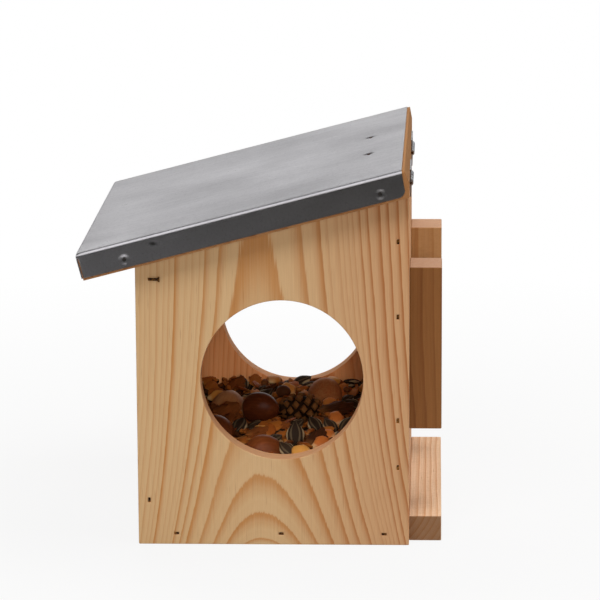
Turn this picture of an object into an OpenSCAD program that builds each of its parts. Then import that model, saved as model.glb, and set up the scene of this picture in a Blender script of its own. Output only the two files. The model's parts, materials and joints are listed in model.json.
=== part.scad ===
// Squirrel feeder: a pine box with a round feeding hole in each side, closed by a
// sloping lid clad in folded galvanised sheet and hung on two small butt hinges.
// Millimetres. +Z is up, -Y is the low front eave and +X, -X are the holed sides.
// The origin is the middle of the box's footprint, on the surface it stands on.

/* [Box] */
// Width across the outside of the two side panels
box_w = 180; // [156:1:220]
// Depth from the front panel's face to the back panel's face
box_d = 134; // [122:1:160]
// Height of the side panels at the back face
back_h = 176.8; // [170:0.2:200]
// Thickness of the side, front, back and floor boards
board_t = 11; // [9:0.5:13]

/* [Feeding holes] */
// Diameter of the hole in each side panel
hole_d = 80; // [60:1:86]
// Height of the holes' centre
hole_z = 83.6; // [74:0.2:88]
// Distance from the back face forward to the holes' centre
hole_from_back = 62.5; // [56:0.5:72]

/* [Roof] */
// Fall of the roof towards the front, in degrees
roof_pitch = 14.6; // [10:0.2:17]
// Thickness of the roof board
roof_board_t = 13.2; // [12:0.2:16]
// Overhang of the roof board past each side panel
roof_side = 13.2; // [8:0.2:20]
// Overhang of the roof board past the front panel, along the slope
roof_front = 24.6; // [12:0.2:34]
// Gap between the closed roof board and the box
seat_gap = 0.2; // [0.1:0.05:0.5]

/* [Roof sheet] */
// Thickness of the galvanised sheet
sheet_t = 0.6; // [0.4:0.1:0.9]
// Depth of the turned-down edges, from the top of the sheet
sheet_drop = 13.1; // [11.4:0.1:13.4]
// Inside radius of the bends
sheet_bend = 0.8; // [0.5:0.1:1.5]
// Distance that the sheet stops short of the board's rear end
sheet_rear_set = 1.6; // [0.5:0.1:3]
// Open slit between the side and front turn-downs at each front corner
corner_slit = 0.6; // [0.3:0.1:1.2]

/* [Back battens] */
// Width of each upright batten
batten_w = 25; // [16:0.5:34]
// Thickness of the battens
batten_t = 16; // [15.6:0.2:20]
// Length of each upright batten
batten_len = 82; // [60:1:100]
// Height of the upright battens' lower ends
batten_z = 53.6; // [40:0.2:66]
// Distance from a side of the box to the middle of its upright batten
batten_in = 36.2; // [32:0.2:44]
// Distance that the lower rail stops short of each side of the box
rail_in = 9; // [2:0.5:20]
// Height of the lower rail
rail_h = 12.7; // [11:0.1:20]

/* [Hinges] */
// Length of each hinge
hinge_len = 30; // [24:1:34]
// Distance from a side of the box to the middle of its hinge
hinge_in = 44; // [36:0.5:54]
// Thickness of a leaf
leaf_t = 0.7; // [0.6:0.1:1]
// Reach of a leaf from the pin's centre to its far edge
leaf_reach = 6.8; // [6.4:0.1:8]
// Diameter of the knuckles
barrel_d = 2.8; // [2.4:0.1:3.2]
// Diameter of the pin
pin_d = 1.3; // [1:0.1:1.5]
// Radial play between a pin and its knuckles
pin_play = 0.05; // [0.02:0.01:0.09]
// Gap between neighbouring knuckles, and from a knuckle to the other leaf
knuckle_gap = 0.3; // [0.2:0.05:0.5]

/* [Leaf screws] */
// Diameter of a countersunk head
screw_head_d = 3.2; // [2.6:0.1:3.6]
// Diameter of a screw's shank
screw_d = 1.7; // [1.4:0.1:2]
// Length of a screw
screw_len = 9; // [6:0.5:10]
// Distance from the pin's centre to the screws' row
screw_row = 4.2; // [3.9:0.1:4.6]
// Distance between the two screws of a leaf
screw_spread = 19; // [12:0.5:21]

/* [Brads and nails] */
// Thickness of a brad's square wire
brad_t = 1.2; // [1:0.1:1.6]
// Length of a brad's head, along the joint that it closes
brad_head_w = 2.4; // [2:0.1:3]
// Height of a brad's head
brad_head_h = 0.9; // [0.5:0.1:1.5]
// Length of a brad
brad_len = 24; // [20:0.5:25]
// Depth of a brad's head below the wood
brad_sunk = 0.5; // [0.2:0.1:1]
// Length of the bent brad that lies along the wood
bent_len = 5.8; // [4:0.1:8]
// Diameter of a sheet nail
nail_d = 1.2; // [1:0.1:1.5]
// Diameter of a sheet nail's head
nail_head_d = 1.9; // [1.7:0.1:2.2]
// Diameter of the dish that a nail presses into the sheet
dish_d = 4.4; // [3:0.1:6]
// Length of a sheet nail
nail_len = 12; // [8:0.5:12.5]
// Length of a top tack
tack_len = 9; // [6:0.5:11]
// Play round every shank that is driven into wood
shank_play = 0.05; // [0.02:0.01:0.1]

/* [Feed] */
// Mean depth of the feed on the floor
feed_depth = 31; // [20:0.5:33]
// Rise of the feed from the middle to the left wall
feed_lean = 2; // [0:0.5:4]
// Height of the feed's gentle waves
feed_ripple = 0.7; // [0:0.1:1]
// Clearance round the feed and under each loose seed
feed_play = 0.3; // [0.2:0.05:0.5]
// Diameter of a hazelnut
hazelnut_d = 20; // [15:0.5:22]
// Thickness of the alder cone
cone_d = 16; // [12:0.5:18]
// Length of the alder cone
cone_len = 23; // [18:0.5:26]
// Length of a sunflower seed
sunflower_len = 11; // [8:0.5:12]
// Length of a maize kernel
maize_len = 10; // [8:0.5:11]

/* [Hidden] */
$fn = 64;

// Colours of the real surfaces
pine = [0.80, 0.60, 0.38];
zinc = [0.70, 0.70, 0.72];
bright_steel = [0.62, 0.63, 0.65];
rusty_steel = [0.45, 0.34, 0.26];
husk = [0.36, 0.25, 0.15];

// Box
half_w = box_w / 2;
half_d = box_d / 2;
inner_half_w = half_w - board_t;
inner_half_d = half_d - board_t;
hole_y = half_d - hole_from_back;
fall = tan(roof_pitch);
// Room that a cutting shape reaches past the face it opens
over = 2;

// Roof, in its own frame: y runs up the slope from the rear lower edge, z is square to it
roof_len = box_d / cos(roof_pitch) + roof_front;
roof_half_w = half_w + roof_side;
sheet_top = roof_board_t + sheet_t;
sheet_foot = sheet_top - sheet_drop;
// The board's eased edges keep clear of the inside of the sheet's bends
bend_room = 0.3;
board_ease = sheet_bend + bend_room;

// Battens, from the middle of the box
batten_at = half_w - batten_in;
rail_half = half_w - rail_in;

// Hinges
hinge_at = half_w - hinge_in;
hinge_y = half_d + leaf_t / 2;
hinge_z = back_h + seat_gap / 2;
barrel_r = barrel_d / 2;
knuckle_len = hinge_len / 3;

// Brads along each edge of a side panel: shares of the run between the end brads
edge_y = inner_half_d + board_t / 2;
edge_z = board_t / 2;
rear_row = [0, 0.21, 0.67, 1];
rear_row_low = 39.5;
rear_row_drop = 24;
foot_row = [0, 0.505, 1];
foot_row_front = 18.8;
foot_row_back = 12.3;
front_row_low = 22.5;
front_row_drop = 7.8;
bent_in = 1.4;

// Brads in the battens
batten_brad_in = 16;
rail_brad_in = 21;

// Nails in the turned-down edges and tacks in the top of the sheet
nail_up = 5.2;
nail_front_in = 22;
nail_rear_in = 13;
front_nail_in = 43.2;
tack_in = 18;
tack_side_in = 76.8;
dish_h = 0.55 * sheet_t;
dish_floor = sheet_t - dish_h;
dish_clear = 0.5 * sheet_t;
dish_rim = 0.2;
dish_floor_d = nail_head_d + 2 * dish_rim;
nail_head_h = 0.9 * dish_h;

// Hazelnuts in the feed: x, y, rise of the middle above the feed, turn, tilt
hazelnut_spots = [
    [6, -11.5, 7.6, 48, 55], [60, -6, -2, 205, 75], [34, -28, 2, 140, 80],
    [-21, -29, 4, 250, 35], [-44.5, 21.5, 5, 80, 150], [60, 45, 3, 310, 70]
];
// The alder cone: x, y, rise of its middle, turn
cone_spot = [-12, 8.5, 3, 25];
// Loose seeds on top of the feed: x, y, turn
sunflower_spots = [
    [43.5, 10, 60], [67, 9, 100], [26, -10, 15], [-68, 9, 40], [-26, 36, 150], [62, 29, 20],
    [-8, -46, 75], [20, 18, 120], [-64, -24, 95], [-40, -10, 50], [50, -46, 10], [2, 46, 35]
];
maize_spots = [
    [-67, -7, 75], [-68, 24, 20], [-48, 2, 130], [-24, 24, 60], [8, 29, 110], [52, 22, 35],
    [71, 17, 80], [36, -8, 160], [-40, -36, 15], [14, -34, 100], [66, -30, 55], [-52, 44, 140]
];

// Colour of each loose seed's husk or grain
maize_gold = [0.87, 0.60, 0.20];
seed_grey = [0.28, 0.26, 0.24];
cone_brown = [0.33, 0.23, 0.15];
nut_brown = [0.52, 0.33, 0.18];

// Height of the box's sloping rim at a given depth
function rim_z(y) = back_h - (half_d - y) * fall;

// A point at a given share of the way from one value to another
function between(low, high, share) = low + (high - low) * share;

// Height of the feed's surface
function feed_top(x, y) = board_t + feed_depth - feed_lean * x / inner_half_w
    + feed_ripple * (sin(4.1 * x + 20) + cos(5.3 * y));

// Highest point of the feed under the stretch that a lying seed touches
function feed_under(spot, reach) = max([
    for (d = [-reach, 0, reach]) feed_top(spot.x - d * sin(spot[2]), spot.y + d * cos(spot[2]))
]);

// Whether a loose piece of a given reach lies inside the walls
function inside(x, y, reach) = abs(x) + reach < inner_half_w - feed_play
    && abs(y) + reach < inner_half_d - feed_play;

// Whether a loose seed lies clear of the hazelnuts and the cone
function clear_of_nuts(x, y, reach) = min([
    for (n = hazelnut_spots) norm([n.x - x, n.y - y]) - hazelnut_d / 2 - reach,
    norm([cone_spot.x - x, cone_spot.y - y]) - cone_len / 2 - reach
]) > feed_play;

// Spots of a list that lie inside the walls and clear of the nuts
function free_spots(spots, reach) = [
    for (s = spots) if (inside(s.x, s.y, reach) && clear_of_nuts(s.x, s.y, reach)) s
];

// Places of the brads in the right side panel: y, z, and the turn of the head from upright
side_brad_spots = [
    for (s = rear_row) [edge_y, between(rear_row_low, back_h - rear_row_drop, s), 0],
    for (s = foot_row) [between(foot_row_front - half_d, half_d - foot_row_back, s), edge_z, 90],
    [-edge_y, front_row_low, 0]
];

// Places of the brads in the battens: x, z, and the turn of the head from level
batten_brad_spots = [
    for (side = [-1, 1]) for (z = [batten_z + batten_brad_in, batten_z + batten_len - batten_brad_in])
        [side * batten_at, z, 90],
    for (x = [rail_brad_in - rail_half, 0, rail_half - rail_brad_in]) [x, edge_z, 0]
];

// A flat outline in depth and height, run along X
module along_x(x_low, x_high) {
    translate([x_low, 0, 0]) rotate([90, 0, 90]) linear_extrude(x_high - x_low) children();
}

// A flat outline in width and height, run along Y
module along_y(y_low, y_high) {
    translate([0, y_high, 0]) rotate([90, 0, 0]) linear_extrude(y_high - y_low) children();
}

// Moves the roof's own frame to its closed place on the box
module on_roof() {
    translate([0, half_d, back_h + seat_gap]) rotate([roof_pitch, 0, 0]) children();
}

// Upright board outline whose top follows the roof
module sloped_outline(y_low, y_high, z_low) {
    polygon([[y_low, z_low], [y_high, z_low], [y_high, rim_z(y_high)], [y_low, rim_z(y_low)]]);
}

// What is taken off an outline's upper left corner, at the origin, to round it
module corner_waste(r) {
    difference() {
        translate([-over, -r]) square([r + over, r + over]);
        translate([r, -r]) circle(r);
    }
}

// A bar of flat wire that stands on the origin, with its width along X
module wire_bar(w, t, h) { translate([-w / 2, -t / 2, 0]) cube([w, t, h]); }

// A brad of square wire, head at the origin, pointing along +Z
module brad(play = 0) {
    wire_bar(brad_head_w + 2 * play, brad_t + 2 * play, brad_head_h);
    wire_bar(brad_t + 2 * play, brad_t + 2 * play, brad_len + play);
}

// The hole that a driven brad leaves, open above its head
module brad_hole() {
    wide = brad_head_w + 2 * shank_play;
    brad(shank_play);
    translate([0, 0, -over]) wire_bar(wide, brad_t + 2 * shank_play, over + brad_head_h);
}

// A brad that stood proud and is bent over, with its bend at the origin and its head along +Y
module bent_brad() {
    wire_bar(brad_t, brad_t, brad_len - bent_len);
    intersection() {
        translate([-brad_t / 2, brad_t / 2, 0]) rotate([0, 90, 0]) cylinder(h = brad_t, r = brad_t);
        translate([-brad_t / 2, -brad_t / 2, -brad_t]) cube(brad_t);
    }
    translate([-brad_t / 2, brad_t / 2, -brad_t]) cube([brad_t, bent_len - brad_t, brad_t]);
    translate([-brad_head_w / 2, bent_len - brad_t / 2 - brad_head_h, -brad_t])
        cube([brad_head_w, brad_head_h, brad_t]);
}

// The hole that a bent brad's wire leaves
module bent_brad_hole() {
    wide = brad_t + 2 * shank_play;
    translate([0, 0, -over]) wire_bar(wide, wide, over + brad_len - bent_len + 2 * shank_play);
}

// Sets its child at each brad of the right side panel
module at_side_brads() {
    for (p = side_brad_spots)
        translate([half_w - brad_sunk, p.x, p.y]) rotate([0, -90, 0]) rotate([0, 0, p.z]) children();
}

// Sets its child at the uppermost brad of the right side panel's front edge
module at_corner_brad(out, inward) {
    z = rim_z(-half_d) - front_row_drop;
    translate([half_w + out, inward - edge_y, z]) rotate([0, -90, 0]) children();
}

// Sets its child at each brad of the battens
module at_batten_brads() {
    y = half_d + batten_t - brad_sunk;
    for (p = batten_brad_spots) translate([p.x, y, p.y]) rotate([90, 0, 0]) rotate([0, 0, p.z]) children();
}

// Brads of the right side panel, with the one at its front corner bent over or driven home
module side_brads(bent) {
    at_side_brads() brad();
    if (bent) at_corner_brad(shank_play, bent_in) bent_brad();
    else at_corner_brad(-brad_sunk, 0) brad();
}

// Their holes
module side_holes(bent) {
    at_side_brads() brad_hole();
    if (bent) at_corner_brad(shank_play, bent_in) bent_brad_hole();
    else at_corner_brad(-brad_sunk, 0) brad_hole();
}

// Holes of the brads in both side panels
module both_side_holes() {
    side_holes(true);
    mirror([1, 0, 0]) side_holes(false);
}

// A side panel, on the right
module side_panel(bent) {
    difference() {
        along_x(inner_half_w, half_w) difference() {
            sloped_outline(-half_d, half_d, 0);
            translate([hole_y, hole_z]) circle(d = hole_d, $fn = 128);
        }
        side_holes(bent);
    }
}

module right_side_panel() { color(pine) side_panel(true); }

module left_side_panel() { color(pine) mirror([1, 0, 0]) side_panel(false); }

module floor_board() {
    color(pine) difference() {
        translate([-inner_half_w, -half_d, 0]) cube([2 * inner_half_w, box_d, board_t]);
        both_side_holes();
        at_batten_brads() brad_hole();
    }
}

module front_panel() {
    color(pine) difference() {
        along_x(-inner_half_w, inner_half_w) sloped_outline(-half_d, -inner_half_d, board_t);
        both_side_holes();
    }
}

module back_panel() {
    color(pine) difference() {
        along_x(-inner_half_w, inner_half_w) sloped_outline(inner_half_d, half_d, board_t);
        both_side_holes();
        at_batten_brads() brad_hole();
        at_hinges() barrel_relief();
        at_hinges() mirror([0, 0, 1]) at_leaf_screws() leaf_screw_hole();
    }
}

// An upright batten, on the right
module upright_batten() {
    difference() {
        translate([batten_at - batten_w / 2, half_d, batten_z])
            cube([batten_w, batten_t, batten_len]);
        at_batten_brads() brad_hole();
    }
}

module right_upright_batten() { color(pine) upright_batten(); }

module left_upright_batten() { color(pine) mirror([1, 0, 0]) upright_batten(); }

module lower_rail() {
    color(pine) difference() {
        translate([-rail_half, half_d, 0]) cube([2 * rail_half, batten_t, rail_h]);
        at_batten_brads() brad_hole();
    }
}

module right_side_brads() { color(rusty_steel) side_brads(true); }

module left_side_brads() { color(rusty_steel) mirror([1, 0, 0]) side_brads(false); }

module batten_brads() { color(rusty_steel) at_batten_brads() brad(); }

// The roof board's block, grown by a thickness on its top, sides and front, in the roof's frame.
// Its front is square to the slope and its rear is plumb, in line with the back panel.
module roof_block(grow, rear_set, ease) {
    top = roof_board_t + grow;
    front = -roof_len - grow;
    side = roof_half_w + grow;
    intersection() {
        along_x(-side - over, side + over) difference() {
            polygon([[front, 0], [-rear_set, 0], [top * fall - rear_set, top], [front, top]]);
            translate([front, top]) corner_waste(ease);
        }
        along_y(front - over, box_d) difference() {
            translate([-side, 0]) square([2 * side, top]);
            translate([-side, top]) corner_waste(ease);
            mirror([1, 0]) translate([-side, top]) corner_waste(ease);
        }
    }
}

// A sheet nail with its head's underside at the origin, pointing along +Z
module nail(length) {
    translate([0, 0, -nail_head_h]) cylinder(h = nail_head_h, d1 = 0.6 * nail_head_d, d2 = nail_head_d);
    cylinder(h = length, d = nail_d);
}

// The dish round a driven nail, with its floor at the origin and its cone run out past the sheet
module nail_dish() {
    rise = dish_h + dish_clear;
    flare = (dish_d - dish_floor_d) / dish_h;
    translate([0, 0, -rise]) cylinder(h = rise, d1 = dish_floor_d + flare * rise, d2 = dish_floor_d);
}

// The hole of a driven nail
module nail_hole(length) {
    translate([0, 0, -over]) cylinder(h = over + length + shank_play, d = nail_d + 2 * shank_play);
}

// Sets its child at each nail of the turned-down edges, in the roof's frame
module at_nails() {
    for (side = [-1, 1]) {
        for (y = [nail_front_in - roof_len, -nail_rear_in])
            translate([side * (roof_half_w + dish_floor), y, nail_up]) rotate([0, -90 * side, 0]) children();
        translate([side * (roof_half_w - front_nail_in), -roof_len - dish_floor, nail_up])
            rotate([-90, 0, 0]) children();
    }
}

// Sets its child at each tack in the top of the sheet, in the roof's frame
module at_tacks() {
    for (side = [-1, 1])
        translate([side * (roof_half_w - tack_side_in), -tack_in, sheet_top - dish_h])
            rotate([180, 0, 0]) children();
}

module roof_board() {
    color(pine) difference() {
        on_roof() difference() {
            roof_block(0, 0, board_ease);
            at_nails() nail_hole(nail_len);
            at_tacks() nail_hole(tack_len);
        }
        at_hinges() barrel_relief();
        at_hinges() at_leaf_screws() leaf_screw_hole();
    }
}

// Sheet folded down over the board's sides and front, with an open slit at each front corner
module roof_sheet() {
    side = roof_half_w + sheet_t;
    color(zinc) on_roof() difference() {
        roof_block(sheet_t, sheet_rear_set, sheet_bend + sheet_t);
        roof_block(0, -box_d, sheet_bend);
        translate([-side - over, -roof_len - sheet_t - over, -over])
            cube([2 * (side + over), roof_len + box_d, sheet_foot + over]);
        for (flip = [0, 1]) mirror([flip, 0, 0])
            translate([roof_half_w - over, -roof_len, -over])
                cube([sheet_t + 2 * over, corner_slit, over + roof_board_t - sheet_bend]);
        at_nails() { nail_dish(); nail_hole(nail_len); }
        at_tacks() { nail_dish(); nail_hole(tack_len); }
    }
}

module sheet_nails() { color(bright_steel) on_roof() at_nails() nail(nail_len); }

module sheet_tacks() { color(bright_steel) on_roof() at_tacks() nail(tack_len); }

// Sets its child at the middle of each hinge's pin
module at_hinges() {
    for (side = [-1, 1]) translate([side * hinge_at, hinge_y, hinge_z]) children();
}

// Sets its child at one hinge, 1 for the right and -1 for the left
module at_hinge(side) {
    translate([side * hinge_at, hinge_y, hinge_z]) children();
}

// A length of round bar along X, from a given place along the pin
module bar(x, length, r) {
    translate([x, 0, 0]) rotate([0, 90, 0]) cylinder(h = length, r = r);
}

// Groove that lets the knuckles into the wood at the seam
module barrel_relief() {
    bar(-hinge_len / 2 - knuckle_gap, hinge_len + 2 * knuckle_gap, barrel_r + knuckle_gap);
}

// Sets its child at each screw of a leaf that stands up from the pin
module at_leaf_screws() {
    for (side = [-1, 1])
        translate([side * screw_spread / 2, leaf_t / 2, screw_row]) rotate([90, 0, 0]) children();
}

// A countersunk screw, head at the origin, pointing along +Z
module leaf_screw(play = 0) {
    cylinder(h = leaf_t, d1 = screw_head_d + 2 * play, d2 = screw_d + 2 * play);
    cylinder(h = screw_len + play, d = screw_d + 2 * play);
}

// The hole of a leaf screw
module leaf_screw_hole() {
    leaf_screw(shank_play);
    translate([0, 0, -over]) cylinder(h = over, d = screw_head_d + 2 * shank_play);
}

// A hinge leaf that stands up from the pin, with a knuckle at each given place along it
module leaf(knuckles) {
    inner_edge = barrel_r + knuckle_gap;
    difference() {
        union() {
            translate([-hinge_len / 2, -leaf_t / 2, inner_edge])
                cube([hinge_len, leaf_t, leaf_reach - inner_edge]);
            for (k = knuckles) {
                bar(k[0], k[1], barrel_r);
                translate([k[0], -leaf_t / 2, 0]) cube([k[1], leaf_t, inner_edge + leaf_t]);
            }
        }
        bar(-hinge_len, 2 * hinge_len, pin_d / 2 + pin_play);
        at_leaf_screws() leaf_screw_hole();
    }
}

// The leaf with the two outer knuckles, hanging down on the back panel
module fixed_leaf() {
    length = knuckle_len - knuckle_gap / 2;
    mirror([0, 0, 1]) leaf([[-hinge_len / 2, length], [hinge_len / 2 - length, length]]);
}

// The leaf with the middle knuckle, standing up on the roof board's rear end
module roof_leaf() {
    length = knuckle_len - knuckle_gap;
    leaf([[-length / 2, length]]);
}

module right_hinge_fixed_leaf() { color(bright_steel) at_hinge(1) fixed_leaf(); }

module left_hinge_fixed_leaf() { color(bright_steel) at_hinge(-1) fixed_leaf(); }

module right_hinge_roof_leaf() { color(bright_steel) at_hinge(1) roof_leaf(); }

module left_hinge_roof_leaf() { color(bright_steel) at_hinge(-1) roof_leaf(); }

module right_hinge_pin() { color(rusty_steel) at_hinge(1) bar(-hinge_len / 2, hinge_len, pin_d / 2); }

module left_hinge_pin() { color(rusty_steel) at_hinge(-1) bar(-hinge_len / 2, hinge_len, pin_d / 2); }

module fixed_leaf_screws() {
    color(bright_steel) at_hinges() mirror([0, 0, 1]) at_leaf_screws() leaf_screw();
}

module roof_leaf_screws() { color(bright_steel) at_hinges() at_leaf_screws() leaf_screw(); }

// A hazelnut with its scar below and its tip above, grown by a clearance
module hazelnut(play = 0) {
    r = hazelnut_d / 2;
    steps = 14;
    rotate_extrude() polygon([
        [0, -0.86 * r - play],
        for (i = [0 : steps - 1])
            let (a = -60 + 150 * i / steps)
            [(r + play) * cos(a), (r + play) * sin(a) + 0.16 * r * pow(max(0, sin(a)), 5)],
        [0, 1.16 * r + play]
    ]);
}

// Sets its child at each hazelnut
module at_hazelnuts() {
    for (n = hazelnut_spots)
        if (inside(n.x, n.y, hazelnut_d / 2))
            translate([n.x, n.y, feed_top(n.x, n.y) + n[2]]) rotate([n[4], 0, n[3]]) children();
}

module hazelnuts() { color(nut_brown) at_hazelnuts() hazelnut(); }

// An alder cone lying down, its rows of scales as rings, grown by a clearance
module cone(play = 0) {
    rings = 6;
    steps = 24;
    half = cone_len / 2;
    translate([cone_spot.x, cone_spot.y, feed_top(cone_spot.x, cone_spot.y) + cone_spot[2]])
        rotate([90, 0, cone_spot[3]]) rotate_extrude() polygon([
            [0, -half - play],
            for (i = [1 : steps - 1])
                let (s = -1 + 2 * i / steps)
                [(cone_d / 2) * sqrt(1 - s * s) * (0.94 + 0.06 * cos(360 * rings * s)) + play, half * s],
            [0, half + play]
        ]);
}

module alder_cone() { color(cone_brown) cone(); }

// The heap of feed, with the seats of the nuts and the cone pressed into it
module feed_bed() {
    columns = 14;
    rows = 10;
    a = inner_half_w - feed_play;
    b = inner_half_d - feed_play;
    surface = [
        for (j = [0 : rows]) for (i = [0 : columns])
            let (x = between(-a, a, i / columns), y = between(-b, b, j / rows)) [x, y, feed_top(x, y)]
    ];
    n = len(surface);
    foot = [[-a, -b, board_t], [a, -b, board_t], [a, b, board_t], [-a, b, board_t]];
    at = function (i, j) j * (columns + 1) + i;
    color(husk) difference() {
        polyhedron(points = concat(surface, foot), faces = [
            for (j = [0 : rows - 1]) for (i = [0 : columns - 1]) [at(i, j), at(i, j + 1), at(i + 1, j + 1)],
            for (j = [0 : rows - 1]) for (i = [0 : columns - 1]) [at(i, j), at(i + 1, j + 1), at(i + 1, j)],
            [n, n + 1, n + 2, n + 3],
            [n, for (i = [0 : columns]) at(i, 0), n + 1],
            [n + 1, for (j = [0 : rows]) at(columns, j), n + 2],
            [n + 2, for (i = [0 : columns]) at(columns - i, rows), n + 3],
            [n + 3, for (j = [0 : rows]) at(0, rows - j), n]
        ]);
        at_hazelnuts() hazelnut(feed_play);
        cone(feed_play);
    }
}

// A seed that tapers to a point, lying on the feed at the origin
module sunflower_seed() {
    thick = 0.16 * sunflower_len;
    hull() {
        for (side = [-1, 1])
            translate([side * 0.14 * sunflower_len, -0.2 * sunflower_len, thick]) sphere(thick, $fn = 12);
        translate([0, 0.5 * sunflower_len - thick / 2, thick]) sphere(thick / 2, $fn = 10);
    }
}

// A kernel with a broad crown and a narrow root, lying on the feed at the origin
module maize_kernel() {
    thick = 0.22 * maize_len;
    hull() {
        for (side = [-1, 1])
            translate([side * 0.19 * maize_len, 0.26 * maize_len, thick]) sphere(thick, $fn = 12);
        translate([0, -0.36 * maize_len, thick]) sphere(0.6 * thick, $fn = 10);
    }
}

// Sets its child on the feed at each free spot of a list
module at_free_spots(spots, length) {
    for (s = free_spots(spots, length / 2))
        translate([s.x, s.y, feed_under(s, length / 3) + feed_play]) rotate([0, 0, s[2]]) children();
}

module sunflower_seeds() {
    color(seed_grey) at_free_spots(sunflower_spots, sunflower_len) sunflower_seed();
}

module maize_kernels() {
    color(maize_gold) at_free_spots(maize_spots, maize_len) maize_kernel();
}

floor_board();
front_panel();
back_panel();
right_side_panel();
left_side_panel();
right_upright_batten();
left_upright_batten();
lower_rail();
right_side_brads();
left_side_brads();
batten_brads();
roof_board();
roof_sheet();
sheet_nails();
sheet_tacks();
right_hinge_fixed_leaf();
left_hinge_fixed_leaf();
right_hinge_roof_leaf();
left_hinge_roof_leaf();
right_hinge_pin();
left_hinge_pin();
fixed_leaf_screws();
roof_leaf_screws();
feed_bed();
hazelnuts();
alder_cone();
sunflower_seeds();
maize_kernels();
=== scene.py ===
"""Dresses a squirrel feeder: a pine box with two feeding holes, a hinged roof in folded sheet, and the feed.

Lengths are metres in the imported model's frame, with +Z up, -Y towards the low eave and +X through a hole.
Growth rings and other fine patterns are written in millimetres, because their shaders work in millimetres.
"""

import json
import logging
import math
import random
from dataclasses import dataclass, field
from enum import Enum
from functools import cached_property, reduce
from typing import Callable, Iterable, Sequence, Union

import bmesh
import bpy
import numpy as np
from mathutils import Matrix, Vector, noise


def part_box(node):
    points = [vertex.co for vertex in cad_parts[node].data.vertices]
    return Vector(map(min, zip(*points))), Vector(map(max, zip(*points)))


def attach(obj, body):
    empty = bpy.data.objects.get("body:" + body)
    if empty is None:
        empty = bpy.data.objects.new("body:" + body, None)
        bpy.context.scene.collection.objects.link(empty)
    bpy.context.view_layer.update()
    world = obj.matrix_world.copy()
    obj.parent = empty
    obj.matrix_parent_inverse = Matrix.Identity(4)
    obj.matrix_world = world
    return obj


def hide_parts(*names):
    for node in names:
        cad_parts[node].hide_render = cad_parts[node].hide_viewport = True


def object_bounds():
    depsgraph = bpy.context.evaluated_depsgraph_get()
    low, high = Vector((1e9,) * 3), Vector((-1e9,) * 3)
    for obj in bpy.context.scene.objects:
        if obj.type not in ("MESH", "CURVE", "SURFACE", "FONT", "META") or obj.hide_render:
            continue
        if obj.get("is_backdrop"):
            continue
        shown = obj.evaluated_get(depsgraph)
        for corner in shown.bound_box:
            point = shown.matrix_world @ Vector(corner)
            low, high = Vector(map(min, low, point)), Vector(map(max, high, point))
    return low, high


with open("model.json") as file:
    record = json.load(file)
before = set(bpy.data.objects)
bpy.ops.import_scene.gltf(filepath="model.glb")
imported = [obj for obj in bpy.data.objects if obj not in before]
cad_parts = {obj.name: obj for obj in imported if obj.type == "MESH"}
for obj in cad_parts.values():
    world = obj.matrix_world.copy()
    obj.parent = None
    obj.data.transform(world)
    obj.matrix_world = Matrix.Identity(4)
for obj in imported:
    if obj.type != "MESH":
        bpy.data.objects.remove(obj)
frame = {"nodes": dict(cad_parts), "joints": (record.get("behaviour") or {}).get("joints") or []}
CAD_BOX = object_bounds()

MM = 0.001
CLOSE = 0.01 * MM
log = logging.getLogger("feeder")

Colour = tuple[float, float, float]
Pairs = Sequence[tuple[float, float]]
Socket = bpy.types.NodeSocket
Value = Union[float, Sequence[float], Socket]
Box = tuple[Vector, Vector]


def tint(red: int, green: int, blue: int) -> Colour:
    """Turns a display colour in steps of 255 into the linear colour that a shader takes.

    Args:
        red: Red step, from 0 to 255.
        green: Green step, from 0 to 255.
        blue: Blue step, from 0 to 255.

    Returns:
        The same colour as three linear shares.
    """
    shares = [step / 255 for step in (red, green, blue)]
    return tuple(s / 12.92 if s <= 0.04045 else ((s + 0.055) / 1.055) ** 2.4 for s in shares)


class Axis(Enum):
    """An axis of the frame, as the place of its coordinate."""

    X = 0
    Y = 1
    Z = 2


class Body(Enum):
    """The two bodies that the roof hinge joins."""

    HOUSE = "house"
    ROOF = "roof"


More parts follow.
